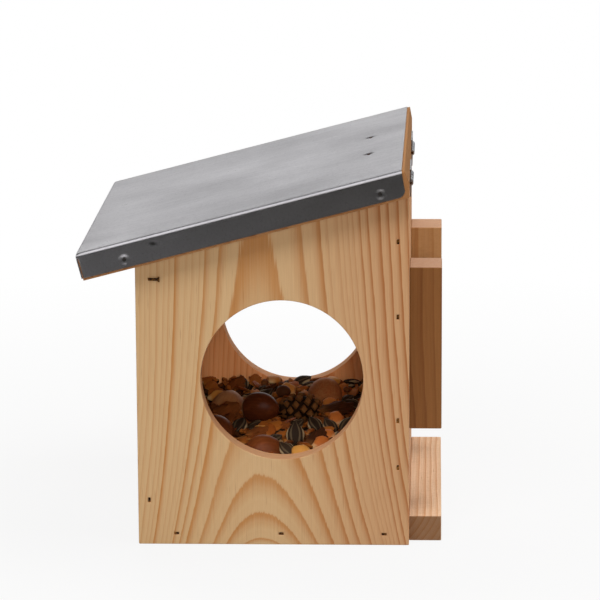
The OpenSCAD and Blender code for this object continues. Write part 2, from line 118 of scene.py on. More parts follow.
class Wiring:
    """Adds nodes to a tree and links them."""

    def __init__(self, tree: bpy.types.NodeTree) -> None:
        """Takes up a tree."""
        self.nodes = tree.nodes
        self.links = tree.links

    def plug(self, target: Socket, value: Value) -> None:
        """Links a socket to another, or sets its own value.

        Args:
            target: The input socket.
            value: An output socket, a number, or three numbers.
        """
        if isinstance(value, Socket):
            self.links.new(value, target)
        elif target.type == "RGBA":
            target.default_value = (*value[:3], 1.0)
        else:
            target.default_value = value

    def node(self, kind: str, inputs: dict[object, Value], **settings: object) -> bpy.types.Node:
        """Adds a node.

        Args:
            kind: The node's type name without its ShaderNode prefix.
            inputs: Values or sockets by input name or index.
            **settings: Properties to set on it.

        Returns:
            The new node.
        """
        made = self.nodes.new("ShaderNode" + kind)
        for key, value in settings.items():
            setattr(made, key, value)
        for key, value in inputs.items():
            self.plug(made.inputs[key], value)
        return made

    def math(self, operation: str, *values: Value) -> Socket:
        """Adds a Math node and returns its result."""
        return self.node("Math", dict(enumerate(values)), operation=operation).outputs[0]

    def times(self, first: Value, second: Value) -> Socket:
        """Multiplies two values."""
        return self.math("MULTIPLY", first, second)

    def total(self, *values: Value) -> Socket:
        """Adds up any number of values."""
        return reduce(lambda first, second: self.math("ADD", first, second), values)

    def swing(self, value: Socket, size: float) -> Socket:
        """Turns a noise from 0 to 1 into one from minus half of size to plus half of size."""
        return self.math("MULTIPLY_ADD", value, size, -0.5 * size)

    def span(self, value: Socket, start: float, end: float, low: float = 0.0, high: float = 1.0) -> Socket:
        """Maps a value's span from start to end onto low to high, held at both ends."""
        inputs = {"Value": value, "From Min": start, "From Max": end, "To Min": low, "To Max": high}
        return self.node("MapRange", inputs, clamp=True).outputs["Result"]

    def length(self, vector: Socket) -> Socket:
        """Gives a vector's length."""
        return self.node("VectorMath", {0: vector}, operation="LENGTH").outputs["Value"]

    def seen(self) -> Socket:
        """Tells what is seen from the light that falls on things.

        Returns:
            1 for rays of the camera, of gloss and of glass, and 0 for others.
        """
        path = self.node("LightPath", {}).outputs
        rays = [path[f"Is {kind} Ray"] for kind in ("Camera", "Glossy", "Transmission")]
        return reduce(lambda first, second: self.math("MAXIMUM", first, second), rays)

    def shown(self, output: str, share: Socket, first: Socket, second: Socket) -> None:
        """Sends two shaders, mixed by a share, to the tree's output node."""
        mixed = self.node("MixShader", {0: share, 1: first, 2: second}).outputs[0]
        self.plug(self.nodes[output].inputs["Surface"], mixed)


class Shade(Wiring):
    """Writes one material's nodes round its Principled shader."""

    def __init__(self, name: str) -> None:
        """Makes an empty material.

        Args:
            name: The material's name.
        """
        self.material = bpy.data.materials.new(name)
        self.material.use_nodes = True
        super().__init__(self.material.node_tree)
        self.surface = self.nodes["Principled BSDF"]

    @cached_property
    def here(self) -> bpy.types.NodeOutputs:
        """The place and the normal of each point of the piece."""
        return self.node("TexCoord", {}).outputs

    def dress(self, **inputs: Value) -> None:
        """Sets Principled inputs, whose names are written with underscores for spaces."""
        for key, value in inputs.items():
            self.plug(self.surface.inputs[key.replace("_", " ")], value)

    def stretch(self, vector: Socket, x: float, y: float, z: float) -> Socket:
        """Scales a vector along each axis."""
        return self.node("VectorMath", {0: vector, 1: (x, y, z)}, operation="MULTIPLY").outputs["Vector"]

    def moved(self, **changes: Sequence[float]) -> Socket:
        """Gives the place on the piece after a Mapping node's changes."""
        return self.node("Mapping", {"Vector": self.here["Object"], **changes}).outputs["Vector"]

    def millimetres(self, tilt: float = 0.0) -> Socket:
        """Gives the place on the piece in millimetres, in a frame that is tilted about X."""
        place = self.moved(Rotation=(-tilt, 0, 0)) if tilt else self.here["Object"]
        return self.stretch(place, 1000, 1000, 1000)

    def facing(self, axis: Axis) -> Socket:
        """Gives how squarely the surface faces along an axis, from 0 to 1."""
        return self.math("ABSOLUTE", self.split(self.here["Normal"])[axis.value])

    def own(self) -> tuple[Socket, Socket]:
        """Reads the own place and the tone that the points of a nut, cone or seed carry."""
        read = [self.node("Attribute", {}, attribute_name=name).outputs for name in ("own_place", "tone")]
        return read[0]["Vector"], read[1]["Fac"]

    def split(self, vector: Socket) -> tuple[Socket, Socket, Socket]:
        """Splits a vector or colour into its three numbers."""
        return tuple(self.node("SeparateXYZ", {0: vector}).outputs)

    def noise(self, vector: Socket, scale: float, detail: float, roughness: float) -> bpy.types.Node:
        """Adds a noise texture on a vector."""
        inputs = {"Vector": vector, "Scale": scale, "Detail": detail, "Roughness": roughness}
        return self.node("TexNoise", inputs)

    def grain(self, vector: Socket, scale: float, detail: float = 2.0, roughness: float = 0.5) -> Socket:
        """Adds a noise texture and returns its grey value."""
        return self.noise(vector, scale, detail, roughness).outputs["Fac"]

    def ramp(self, share: Socket, stops: Sequence[tuple[float, Colour]]) -> Socket:
        """Turns a share into a colour.

        Args:
            share: The value from 0 to 1.
            stops: Places along the ramp with their colours, in order.

        Returns:
            The colour socket.
        """
        made = self.node("ValToRGB", {0: share})
        bar = made.color_ramp.elements
        while len(bar) < len(stops):
            bar.new(1.0)
        for stop, (place, colour) in zip(bar, stops):
            stop.position = place
            stop.color = (*colour, 1.0)
        return made.outputs["Color"]

    def curve(self, share: Socket, stops: Pairs) -> Socket:
        """Turns a share into another number by a ramp of greys."""
        return self.ramp(share, [(place, (level,) * 3) for place, level in stops])

    def follow(self, share: Socket, points: Pairs) -> Socket:
        """Maps a share along straight lines from point to point.

        Args:
            share: The value from 0 to 1.
            points: Shares with their results, in order, at 0 and 1 too.

        Returns:
            The result from 0 to 1.
        """
        made = self.node("FloatCurve", {"Value": share})
        line = made.mapping.curves[0].points
        for place, level in points[1:-1]:
            line.new(place, level)
        for spot, (place, level) in zip(line, points):
            spot.location = (place, level)
            spot.handle_type = "VECTOR"
        made.mapping.update()
        return made.outputs[0]

    def mix(self, share: Value, first: Value, second: Value, mode: str = "MIX") -> Socket:
        """Mixes two colours by a share and a blending mode."""
        made = self.node("Mix", {0: share, 6: first, 7: second}, data_type="RGBA", blend_type=mode)
        return made.outputs[2]

    def bump(self, height: Socket, depth: float, strength: float) -> None:
        """Roughens the surface by a height from 0 to 1 that is depth metres high."""
        inputs = {"Height": height, "Distance": depth, "Strength": strength}
        self.dress(Normal=self.node("Bump", inputs).outputs["Normal"])


@dataclass(frozen=True)
class PineFinish:
    """Bare sawn pine, with rings round a heart line that lies behind the face and leans away from it.

    The places of the heart line, ring widths and reaches are millimetres. The rings stray across the board
    by wander, in depth by heave and from year to year by uneven. Their edges are frayed by fray and
    hair_fray.
    """

    name: str
    across: Axis
    along: Axis
    heart: float
    face: float
    turn: float = 1.0
    depth: float = 20.6
    lean: float = 22.0
    reach: float = 60.0
    ring: float = 4.8
    skew: float = 0.0012
    drift: tuple[float, float] = (0.016, 0.0045)
    wander: float = 11.0
    heave: float = 14.0
    uneven: float = 1.5
    fray: float = 0.22
    hair_fray: float = 0.12
    year: Pairs = (
        (0.0, 0.12), (0.07, 0.0), (0.4, 0.06), (0.66, 0.42), (0.86, 0.95), (0.955, 1.0), (1.0, 0.2),
    )
    pale: Colour = tint(203, 170, 128)
    late: Colour = tint(180, 123, 67)
    resin: Colour = tint(140, 88, 46)
    thin: float = 0.2
    sawn: float = 0.0
    saw_mark: Colour = tint(128, 84, 48)
    tilt: float = 0.0
    seed: float = 0.0
    end: float = 0.3
    cut: Colour = tint(150, 100, 62)
    # The next two fields paint light: the wall of a hole is lightened and warmed as painted bounce light.
    edge: float = 0.0
    bore_painted_light: Colour = tint(222, 164, 120)
    # The next two fields paint light: the board's inner face, some millimetres behind its outer face, is
    # brightened and warmed as painted bounce light.
    inside: float = 0.0
    glow: Colour = (1.56, 1.29, 1.08)
    shine: float = 0.32
    relief: float = 0.22 * MM

    def through(self) -> Axis:
        """Gives the axis through the board's thickness."""
        return next(a for a in Axis if a not in (self.across, self.along))

    def off_face(self, shade: Shade, place: Socket) -> Socket:
        """Gives how far a point lies from the plane of the board's face."""
        return shade.math("SUBTRACT", shade.split(place)[self.through().value], self.face)

    def drawn(self, shade: Shade, place: Socket, across: float, along: float) -> Socket:
        """Scales a place for a pattern that is close across the fibres and long along them."""
        return shade.stretch(place, *(along if axis is self.along else across for axis in Axis))

    def fibres(
        self,
        shade: Shade,
        place: Socket,
        scales: tuple[float, float],
        detail: float = 2.0,
        roughness: float = 0.5,
    ) -> Socket:
        """Adds a grey noise along the fibres, by its scales across and along them."""
        return shade.grain(self.drawn(shade, place, *scales), 1.0, detail, roughness)

    def strays(self, shade: Shade, place: Socket) -> tuple[Socket, Socket]:
        """Works out how far the rings stray at each point.

        Args:
            shade: The material in the making.
            place: The point in millimetres.

        Returns:
            How far they stray across the board and in depth.
        """
        drift = shade.noise(self.drawn(shade, place, *self.drift), 1.0, 2.0, 0.5)
        across, deep, _ = shade.split(drift.outputs["Color"])
        return shade.swing(across, self.wander), shade.swing(deep, self.heave)

    def climb(self, shade: Shade, height: Socket) -> Socket:
        """Gives how much of the heart line's lean is left at a height."""
        return shade.math("EXPONENT", shade.times(height, -1.0 / self.reach))

    def rings(self, shade: Shade, place: Socket) -> tuple[Socket, Socket]:
        """Works out how many rings lie between the heart line and each point.

        Args:
            shade: The material in the making.
            place: The point in millimetres.

        Returns:
            The ring count with its share of a ring, and the distance across from the heart line.
        """
        parts = shade.split(place)
        stray_across, stray_deep = self.strays(shade, place)
        aside = shade.math("SUBTRACT", parts[self.across.value], self.heart)
        deep = shade.total(
            shade.math("MULTIPLY_ADD", self.off_face(shade, place), self.turn, self.depth + self.lean),
            shade.times(self.climb(shade, parts[self.along.value]), -self.lean),
            stray_deep,
        )
        wandered = shade.total(aside, stray_across)
        radius = shade.math("SQRT", shade.total(shade.times(wandered, wandered), shade.times(deep, deep)))
        count = shade.times(radius, shade.math("MULTIPLY_ADD", wandered, -self.skew, 1.0 / self.ring))
        years = shade.node("TexNoise", {"W": count, "Scale": 0.33, "Detail": 1.0}, noise_dimensions="1D")
        return shade.total(count, shade.swing(years.outputs["Fac"], self.uneven), self.seed), aside

    def darkness(self, shade: Shade, year: Socket, aside: Socket) -> Socket:
        """Gives each year's ring a darkness of its own.

        Args:
            shade: The material in the making.
            year: The ring's number.
            aside: The distance across from the heart line.

        Returns:
            How dark the ring's late wood is, from 0 to 1.
        """
        chance = shade.node("TexWhiteNoise", {"W": year}, noise_dimensions="1D")
        return shade.span(chance.outputs["Value"], 0.0, 1.0, 0.5, 1.0)

    def tones(self, shade: Shade, aside: Socket) -> tuple[Value, Value]:
        """Gives the colours of early and late wood at a distance across from the heart line."""
        return self.pale, self.late

    def worked(self, shade: Shade, place: Socket, wood: Socket) -> Socket:
        """Colours the end grain, and paints warm bounce light on the face inside the box and on the wall of
        the hole.

        Args:
            shade: The material in the making.
            place: The point in millimetres.
            wood: The colour of the bare wood.

        Returns:
            The colour of the worked board, with its painted bounce light.
        """
        end_grain = shade.math("POWER", shade.facing(self.along), 4.0)
        wood = shade.mix(shade.times(end_grain, self.end), wood, self.cut)
        # Painted bounce light: the face inside the box is brightened and warmed.
        if self.inside:
            height = shade.times(self.off_face(shade, place), self.turn)
            under = shade.span(height, -0.7 * self.inside, -0.95 * self.inside)
            wood = shade.mix(under, wood, self.glow, "MULTIPLY")
        # Painted bounce light: the wall of the hole is lightened and warmed.
        if self.edge:
            bore_painted_light = shade.span(shade.facing(self.through()), 0.2, 0.8, self.edge, 0.0)
            wood = shade.mix(bore_painted_light, wood, self.bore_painted_light)
        return wood

    def build(self) -> bpy.types.Material:
        """Makes the wood's material.

        Returns:
            The material.
        """
        shade = Shade(self.name)
        place = shade.millimetres(self.tilt)
        count, aside = self.rings(shade, place)
        fibre = self.fibres(shade, place, (1.1, 0.014), 3.0, 0.62)
        hair = self.fibres(shade, place, (3.4, 0.05), 2.0, 0.6)
        cloud = self.fibres(shade, place, (0.03, 0.012))
        duct = self.fibres(shade, place, (1.9, 0.06), 1.0)
        frayed = shade.total(count, shade.swing(fibre, self.fray), shade.swing(hair, self.hair_fray))
        strength = self.darkness(shade, shade.math("FLOOR", frayed), aside)
        late = shade.times(shade.curve(shade.math("FRACT", frayed), self.year), strength)
        third = shade.math("FRACT", shade.times(frayed, 3.0))
        thin = shade.curve(third, ((0.0, 0.0), (0.9, self.thin), (1.0, 0.0)))
        dark = shade.total(late, thin, shade.swing(fibre, 0.34), shade.swing(cloud, 0.3))
        wood = shade.mix(shade.span(dark, 0.0, 1.1), *self.tones(shade, aside))
        streak = shade.span(hair, 0.3, 0.75, 0.93, 1.06)
        grey = shade.node("CombineXYZ", dict.fromkeys(range(3), streak)).outputs[0]
        wood = shade.mix(1.0, wood, grey, "MULTIPLY")
        wood = shade.mix(shade.span(duct, 0.70, 0.78, 0.0, 0.45), wood, self.resin)
        wood = self.worked(shade, place, wood)
        relief = shade.total(shade.times(late, 0.35), shade.times(fibre, 0.5), shade.times(hair, 0.35))
        if self.sawn:
            saw = self.fibres(shade, place, (0.35, 1.6), 3.0, 0.7)
            relief = shade.total(relief, shade.times(saw, self.sawn))
            wood = shade.mix(shade.span(saw, 0.45, 0.7, 0.0, 0.18), wood, self.saw_mark)
        rough = shade.span(late, 0.0, 1.0, 0.68, 0.55)
        shade.dress(Base_Color=wood, Roughness=rough, Specular_IOR_Level=self.shine)
        shade.bump(relief, self.relief, 0.7)
        return shade.material


@dataclass(frozen=True)
class MappedPine(PineFinish):
    """Pine with each ring where it lies on the photographed face.

    A ring is the square of its distance from the heart line, in square millimetres, and its darkness. The
    heart line sways across the face with height, and sinks behind it by the square sink at most. The wood
    turns from pale to warm, and its late wood to russet, along the stretch warming.
    """

    before: Pairs = ()
    after: Pairs = ()
    drift: tuple[float, float] = (0.06, 0.014)
    wander: float = 2.0
    heave: float = 50.0
    sway: float = 0.0
    sink: float = 1590.0
    widen: float = 1.42
    farthest: float = 6500.0
    warm: Colour = tint(194, 152, 112)
    russet: Colour = tint(160, 100, 54)
    warming: tuple[float, float] = (8.0, 62.0)

    def most(self) -> int:
        """Gives the number of rings on the side that has more."""
        return max(len(self.before), len(self.after))

    def sides(self, shade: Shade, share: Socket, aside: Socket, lines: Sequence[Pairs]) -> Socket:
        """Follows one curve on the near side of the heart line and another on its far side.

        Args:
            shade: The material in the making.
            share: The value from 0 to 1.
            aside: The distance across from the heart line.
            lines: The curve before the line and the curve after it.

        Returns:
            The result from 0 to 1.
        """
        first, second = (shade.follow(share, line) for line in lines)
        past = shade.math("GREATER_THAN", aside, 0.0)
        return shade.total(first, shade.times(past, shade.math("SUBTRACT", second, first)))

    def rings(self, shade: Shade, place: Socket) -> tuple[Socket, Socket]:
        """Counts the rings from the heart line out to each point, by the lists.

        Args:
            shade: The material in the making.
            place: The point in millimetres.

        Returns:
            The ring count with its share of a ring, and the distance across from the heart line.
        """
        parts = shade.split(place)
        height = parts[self.along.value]
        stray_across, stray_deep = self.strays(shade, place)
        heart = shade.math("MULTIPLY_ADD", height, self.sway, self.heart)
        aside = shade.total(shade.math("SUBTRACT", parts[self.across.value], heart), stray_across)
        past = shade.math("GREATER_THAN", aside, 0.0)
        width = shade.math("MULTIPLY_ADD", past, 1.0 / self.widen - 1.0, 1.0)
        square = shade.total(
            shade.times(shade.times(aside, aside), width),
            shade.math("MULTIPLY_ADD", self.climb(shade, height), -self.sink, self.sink),
            shade.times(self.off_face(shade, place), 2.0 * self.depth * self.turn),
            stray_deep,
        )
        most = self.most()
        lines = []
        for side in (self.before, self.after):
            ends = [(end / self.farthest, (year + 1) / most) for year, (end, _) in enumerate(side)]
            lines.append([(0.0, 0.0), *ends, (1.0, 1.0)])
        share = shade.math("DIVIDE", square, self.farthest)
        return shade.times(self.sides(shade, share, aside, lines), float(most)), aside

    def darkness(self, shade: Shade, year: Socket, aside: Socket) -> Socket:
        """Looks up each ring's darkness in the lists.

        Args:
            shade: The material in the making.
            year: The ring's number.
            aside: The distance across from the heart line.

        Returns:
            How dark the ring's late wood is, from 0 to 1.
        """
        most = self.most()
        share = shade.math("MULTIPLY_ADD", year, 1.0 / most, 0.5 / most)
        lines = []
        for side in (self.before, self.after):
            middles = [((number + 0.5) / most, level) for number, (_, level) in enumerate(side)]
            lines.append([(0.0, side[0][1]), *middles, (1.0, side[-1][1])])
        return self.sides(shade, share, aside, lines)

    def tones(self, shade: Shade, aside: Socket) -> tuple[Value, Value]:
        """Turns early and late wood warmer towards the far side."""
        share = shade.span(aside, *self.warming)
        return shade.mix(share, self.pale, self.warm), shade.mix(share, self.late, self.russet)


@dataclass(frozen=True)
class SheetFinish:
    """Dull galvanised sheet with rolling streaks, spangle and flecks, a painted dark reflection on its
    flanges and the painted shade of a small dent.
    """

    name: str
    pitch: float
    dent_spot: tuple[float, float, float]
    base: Colour = tint(222, 220, 224)
    dull: Colour = tint(204, 202, 206)
    speck: Colour = tint(120, 119, 120)
    # The flanges' painted dark reflection.
    painted_dark_reflection: Colour = tint(146, 141, 136)
    # Painted shade of a small dent in the right flange.
    dent_shade_colour: Colour = tint(44, 42, 40)
    dent_spread: tuple[float, float, float] = (90.0, 240.0, 560.0)
    relief: float = 0.05 * MM

    def painted_dent_shade(self, shade: Shade, fleck: Socket) -> Socket:
        """Gives the painted shade of a small dent in the flange, which the sheet's form lacks.

        Args:
            shade: The material in the making.
            fleck: The noise that makes its rim ragged.

        Returns:
            How dark each point is, from 0 to 1.
        """
        near = shade.moved(Location=[-c for c in self.dent_spot])
        reach = shade.length(shade.stretch(near, *self.dent_spread))
        return shade.span(shade.total(reach, shade.swing(fleck, 0.9)), 0.2, 0.95, 0.92, 0.0)

    def build(self) -> bpy.types.Material:
        """Makes the sheet's material.

        Returns:
            The material.
        """
        shade = Shade(self.name)
        place = shade.millimetres(self.pitch)
        streak = shade.grain(shade.stretch(place, 0.30, 0.012, 0.3), 1.0, 4.0, 0.6)
        cloud = shade.grain(shade.stretch(place, 0.03, 0.02, 0.05), 1.0, 3.0)
        fleck = shade.grain(place, 0.75, 3.0, 0.7)
        spangle = shade.node("TexVoronoi", {"Vector": place, "Scale": 0.42, "Randomness": 1.0}, feature="F1")
        crystal = shade.split(spangle.outputs["Color"])[0]
        worn = shade.total(shade.times(streak, 0.3), shade.times(cloud, 0.62), shade.times(crystal, 0.08))
        metal = shade.mix(shade.span(worn, 0.32, 0.68), self.base, self.dull)
        metal = shade.mix(shade.span(fleck, 0.56, 0.72, 0.0, 0.22), metal, self.speck)
        # Painted reflection: the flanges are darkened, more towards the rear, where they mirror dark
        # surroundings.
        folded = shade.span(shade.facing(Axis.Z), 0.2, 0.7, 1.0, 0.0)
        rearward = shade.span(shade.split(place)[Axis.Y.value], -60.0, 70.0, 0.06, 0.56)
        painted_reflection_share = shade.times(folded, shade.total(rearward, shade.swing(fleck, 0.25)))
        metal = shade.mix(painted_reflection_share, metal, self.painted_dark_reflection)
        # Painted shade: a dark patch where a small dent in the flange would fall in shade.
        painted_dent_shade = self.painted_dent_shade(shade, fleck)
        metal = shade.mix(painted_dent_shade, metal, self.dent_shade_colour)
        rough = shade.total(
            shade.span(worn, 0.3, 0.7, 0.27, 0.36),
            shade.span(fleck, 0.5, 0.75, 0.0, 0.10),
            shade.times(painted_dent_shade, 0.2),
        )
        shade.dress(Base_Color=metal, Roughness=rough, Metallic=1.0)
        shade.bump(shade.total(shade.times(fleck, 0.6), shade.times(streak, 0.4)), self.relief, 0.5)
        return shade.material


@dataclass(frozen=True)
class SteelFinish:
    """Plated or bare steel with rust in patches."""

    name: str
    bright: Colour
    rust: Colour
    rusted: float
    polish: float
    metallic: float = 1.0
    patches: float = 0.55
    speckle: float = 0.25
    relief: float = 0.05 * MM

    def build(self) -> bpy.types.Material:
        """Makes the steel's material.

        Returns:
            The material.
        """
        shade = Shade(self.name)
        place = shade.millimetres()
        patch = shade.grain(place, self.patches, 4.0, 0.65)
        fine = shade.grain(place, 2.6, 3.0, 0.6)
        edge = 0.72 - 0.5 * self.rusted
        share = shade.span(shade.total(patch, shade.swing(fine, self.speckle)), edge, edge + 0.12)
        metal = shade.mix(shade.span(fine, 0.3, 0.7), self.bright, [0.8 * c for c in self.bright])
        shade.dress(
            Base_Color=shade.mix(share, metal, self.rust),
            Roughness=shade.span(share, 0.0, 1.0, self.polish, 0.7),
            Metallic=self.metallic,
        )
        shade.bump(shade.total(fine, share), self.relief, 2.0 * self.speckle)
        return shade.material


@dataclass(frozen=True)
class ShellFinish:
    """Nut shell with streaks from tip to scar, darker or paler by the nut, and a matt scar at its foot."""

    name: str
    dark: Colour = tint(76, 34, 16)
    middle: Colour = tint(144, 78, 38)
    pale: Colour = tint(184, 138, 92)
    scar: Colour = tint(176, 142, 104)
    shine: float = 0.3
    relief: float = 0.12 * MM

    def build(self) -> bpy.types.Material:
        """Makes the shell's material.

        Returns:
            The material.
        """
        shade = Shade(self.name)
        spot, tone = shade.own()
        _, _, height = shade.split(spot)
        streak = shade.grain(shade.stretch(spot, 9.0, 9.0, 0.9), 1.0, 3.0, 0.6)
        cloud = shade.grain(spot, 1.6)
        level = shade.total(tone, shade.swing(streak, 0.4), shade.swing(cloud, 0.25))
        shell = shade.ramp(level, [(0.0, self.dark), (0.5, self.middle), (1.0, self.pale)])
        foot = shade.span(shade.total(height, shade.swing(streak, 0.12)), -0.72, -0.64, 1.0, 0.0)
        gloss = shade.span(tone, 0.0, 0.6, 0.32, 0.5)
        shade.dress(
            Base_Color=shade.mix(foot, shell, self.scar),
            Roughness=shade.math("MAXIMUM", gloss, shade.times(foot, 0.8)),
            Specular_IOR_Level=self.shine,
        )
        shade.bump(shade.total(streak, shade.times(cloud, 0.4)), self.relief, 0.6)
        return shade.material


@dataclass(frozen=True)
class SeedFinish:
    """Husk or skin of a seed, between two colours by the seed, with stripes or a pale tip along it."""

    name: str
    first: Colour
    second: Colour
    mark: Colour
    stripes: float = 0.0
    tip: float = 0.0
    gloss: float = 0.5
    mottle: float = 0.2
    shine: float = 0.4
    relief: float = 0.15 * MM

    def build(self) -> bpy.types.Material:
        """Makes the seed's material, or finds it where another piece already has it.

        Returns:
            The material.
        """
        if self.name in bpy.data.materials:
            return bpy.data.materials[self.name]
        shade = Shade(self.name)
        spot, tone = shade.own()
        side, length, height = shade.split(spot)
        streak = shade.grain(shade.stretch(spot, 4.0, 0.8, 4.0), 1.0, 3.0, 0.6)
        skin = shade.mix(shade.total(tone, shade.swing(streak, 2 * self.mottle)), self.first, self.second)
        if self.stripes:
            angle = shade.math("ARCTAN2", height, side)
            wave = shade.math("MULTIPLY_ADD", angle, 2.0 * self.stripes, shade.swing(streak, 1.6))
            line = shade.span(shade.math("COSINE", wave), 0.6, 0.95, 0.0, 0.15)
            rim = shade.span(shade.math("ABSOLUTE", side), 0.76, 0.88, 0.0, 0.85)
            skin = shade.mix(shade.math("MAXIMUM", line, rim), skin, self.mark)
        if self.tip:
            end = shade.span(shade.total(length, shade.swing(streak, 0.3)), -0.95, -0.45, self.tip, 0.0)
            skin = shade.mix(end, skin, self.mark)
        rough = shade.span(streak, 0.2, 0.8, self.gloss, self.gloss + 0.2)
        shade.dress(Base_Color=skin, Roughness=rough, Specular_IOR_Level=self.shine)
        shade.bump(streak, self.relief, 0.6)
        return shade.material


@dataclass(frozen=True)
class CrumbAndShadeFinish:
    """Dark crumbs and seed dust between the seeds, whose darkness is also painted shade of the deep gaps in
    the heap.
    """

    name: str
    dark: Colour = tint(44, 26, 14)
    middle: Colour = tint(92, 58, 30)
    pale: Colour = tint(150, 100, 52)
    relief: float = 1.2 * MM

    def build(self) -> bpy.types.Material:
        """Makes the bed's material, dust with painted shade.

        Returns:
            The material.
        """
        shade = Shade(self.name)
        crumb = shade.grain(shade.millimetres(), 0.35, 4.0, 0.7)
        colour = shade.ramp(crumb, [(0.3, self.dark), (0.52, self.middle), (0.7, self.pale)])
        shade.dress(Base_Color=colour, Roughness=shade.span(crumb, 0.2, 0.8, 0.7, 0.9))
        shade.bump(crumb, self.relief, 0.9)
        return shade.material


def meshed(name: str, shape: bmesh.types.BMesh) -> bpy.types.Mesh:
    """Turns a bmesh into a mesh.

    Args:
        name: The mesh's name.
        shape: The bmesh, which is used up.

    Returns:
        The mesh.
    """
    mesh = bpy.data.meshes.new(name)
    shape.to_mesh(mesh)
    shape.free()
    return mesh


def placed(name: str, data: bpy.types.ID) -> bpy.types.Object:
    """Puts an object into the scene, at the origin.

    Args:
        name: The object's name.
        data: Its mesh, light or camera.

    Returns:
        The object.
    """
    made = bpy.data.objects.new(name, data)
    bpy.context.scene.collection.objects.link(made)
    return made


def publish(
    name: str,
    shape: bmesh.types.BMesh,
    finish: bpy.types.Material,
    body: Body,
    slot: str,
    stands_for: Sequence[str] = (),
    crease: float = 30.0,
) -> bpy.types.Object:
    """Turns a bmesh into a finished piece that rides on a body.

    Args:
        name: The piece's name.
        shape: The bmesh, which is used up.
        finish: The piece's material.
        body: The body that it moves with.
        slot: The record's material slot; not used.
        stands_for: The nodes that it replaces.
        crease: Edges sharper than this many degrees stay sharp.

    Returns:
        The new object.
    """
    mesh = meshed(name, shape)
    mesh.shade_smooth()
    mesh.set_sharp_from_angle(angle=math.radians(crease))
    mesh.materials.append(finish)
    piece = placed(name, mesh)
    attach(piece, body.value)
    if stands_for:
        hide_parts(*stands_for)
    log.info("%s: %d faces on %s", name, len(mesh.polygons), body.value)
    return piece


def coat(node: str, finish: bpy.types.Material) -> None:
    """Gives a node of the frame a better material.

    Args:
        node: The node.
        finish: The material.
    """
    mesh = frame["nodes"][node].data
    mesh.materials.clear()
    mesh.materials.append(finish)
    log.info("%s: coated with %s", node, finish.name)


def merged_copy(node: str) -> bmesh.types.BMesh:
    """Copies a node's loose triangles into one closed mesh.

    Args:
        node: The node.

    Returns:
        The copy.
    """
    shape = bmesh.new()
    shape.from_mesh(frame["nodes"][node].data)
    bmesh.ops.remove_doubles(shape, verts=shape.verts, dist=0.2 * CLOSE)
    return shape


def within(point: Vector, box: Box, slack: float) -> bool:
    """Says whether a point lies in a box, or outside it by no more than slack."""
    return all(low - slack <= p <= high + slack for p, low, high in zip(point, *box))


def bevelled(
    shape: bmesh.types.BMesh,
    edges: Sequence[bmesh.types.BMEdge],
    offset: float,
    segments: int,
    clamp: bool = False,
) -> None:
    """Rounds edges over.

    Args:
        shape: The bmesh that they belong to.
        edges: The edges.
        offset: How far each is taken back.
        segments: Facets across the rounding.
        clamp: Whether neighbouring roundings stop where they meet.
    """
    bmesh.ops.bevel(
        shape,
        geom=edges,
        offset=offset,
        segments=segments,
        profile=0.5,
        affect="EDGES",
        material=-1,
        clamp_overlap=clamp,
    )


def eased_copy(
    node: str, ease: float, spared: Sequence[Box] = (), shortest: float = 1.0 * MM
) -> bmesh.types.BMesh:
    """Copies a board with its long edges eased, as a sander leaves them.

    Args:
        node: The board's node.
        ease: How far each edge is taken back.
        spared: Boxes of the brads, round which every edge stays as it is.
        shortest: Edges shorter than this, such as those round a screw, stay as they are.

    Returns:
        The eased board.
    """
    flat, square = math.radians(0.5), math.radians(30)
    brad_room = 0.3 * MM
    shape = merged_copy(node)
    bmesh.ops.dissolve_limit(shape, angle_limit=flat, verts=shape.verts, edges=shape.edges)
    edges = [
        edge
        for edge in shape.edges
        if edge.is_manifold and edge.calc_face_angle() > square and edge.calc_length() > shortest
        and not any(all(within(v.co, box, brad_room) for v in edge.verts) for box in spared)
    ]
    bevelled(shape, edges, ease, 2, clamp=True)
    bmesh.ops.remove_doubles(shape, verts=shape.verts, dist=CLOSE)
    bmesh.ops.dissolve_degenerate(shape, edges=shape.edges, dist=CLOSE)
    bmesh.ops.delete(shape, geom=[edge for edge in shape.edges if edge.is_wire], context="EDGES")
    return shape


def islands(node: str, into: Matrix = Matrix.Identity(4)) -> list[Box]:
    """Finds each separate solid of a node.

    Args:
        node: The node.
        into: Turns the frame's points into the ones that the boxes are wanted in.

    Returns:
        The lowest and highest corner of each solid, in the order of the lowest corners.
    """
    shape = merged_copy(node)
    shape.transform(into)
    unseen = set(shape.verts)
    boxes = []
    while unseen:
        heap = [unseen.pop()]
        corners = []
        while heap:
            vert = heap.pop()
            corners.append(vert.co.copy())
            fresh = {edge.other_vert(vert) for edge in vert.link_edges} & unseen
            unseen -= fresh
            heap.extend(fresh)
        boxes.append((Vector(map(min, *corners)), Vector(map(max, *corners))))
    shape.free()
    return sorted(boxes, key=lambda box: tuple(box[0]))


def grid(low: Vector, high: Vector, height: float, columns: int, rows: int) -> bmesh.types.BMesh:
    """Lays a flat grid over the plan of a box.

    Args:
        low: The box's lowest corner.
        high: The box's highest corner.
        height: How high the grid lies.
        columns: Squares along x.
        rows: Squares along y.

    Returns:
        The grid.
    """
    shape = bmesh.new()
    middle = Matrix.Translation(((low.x + high.x) / 2, (low.y + high.y) / 2, height))
    size = Matrix.Diagonal((high.x - low.x, high.y - low.y, 1.0, 1.0))
    bmesh.ops.create_grid(shape, x_segments=columns, y_segments=rows, size=0.5, matrix=middle @ size)
    return shape


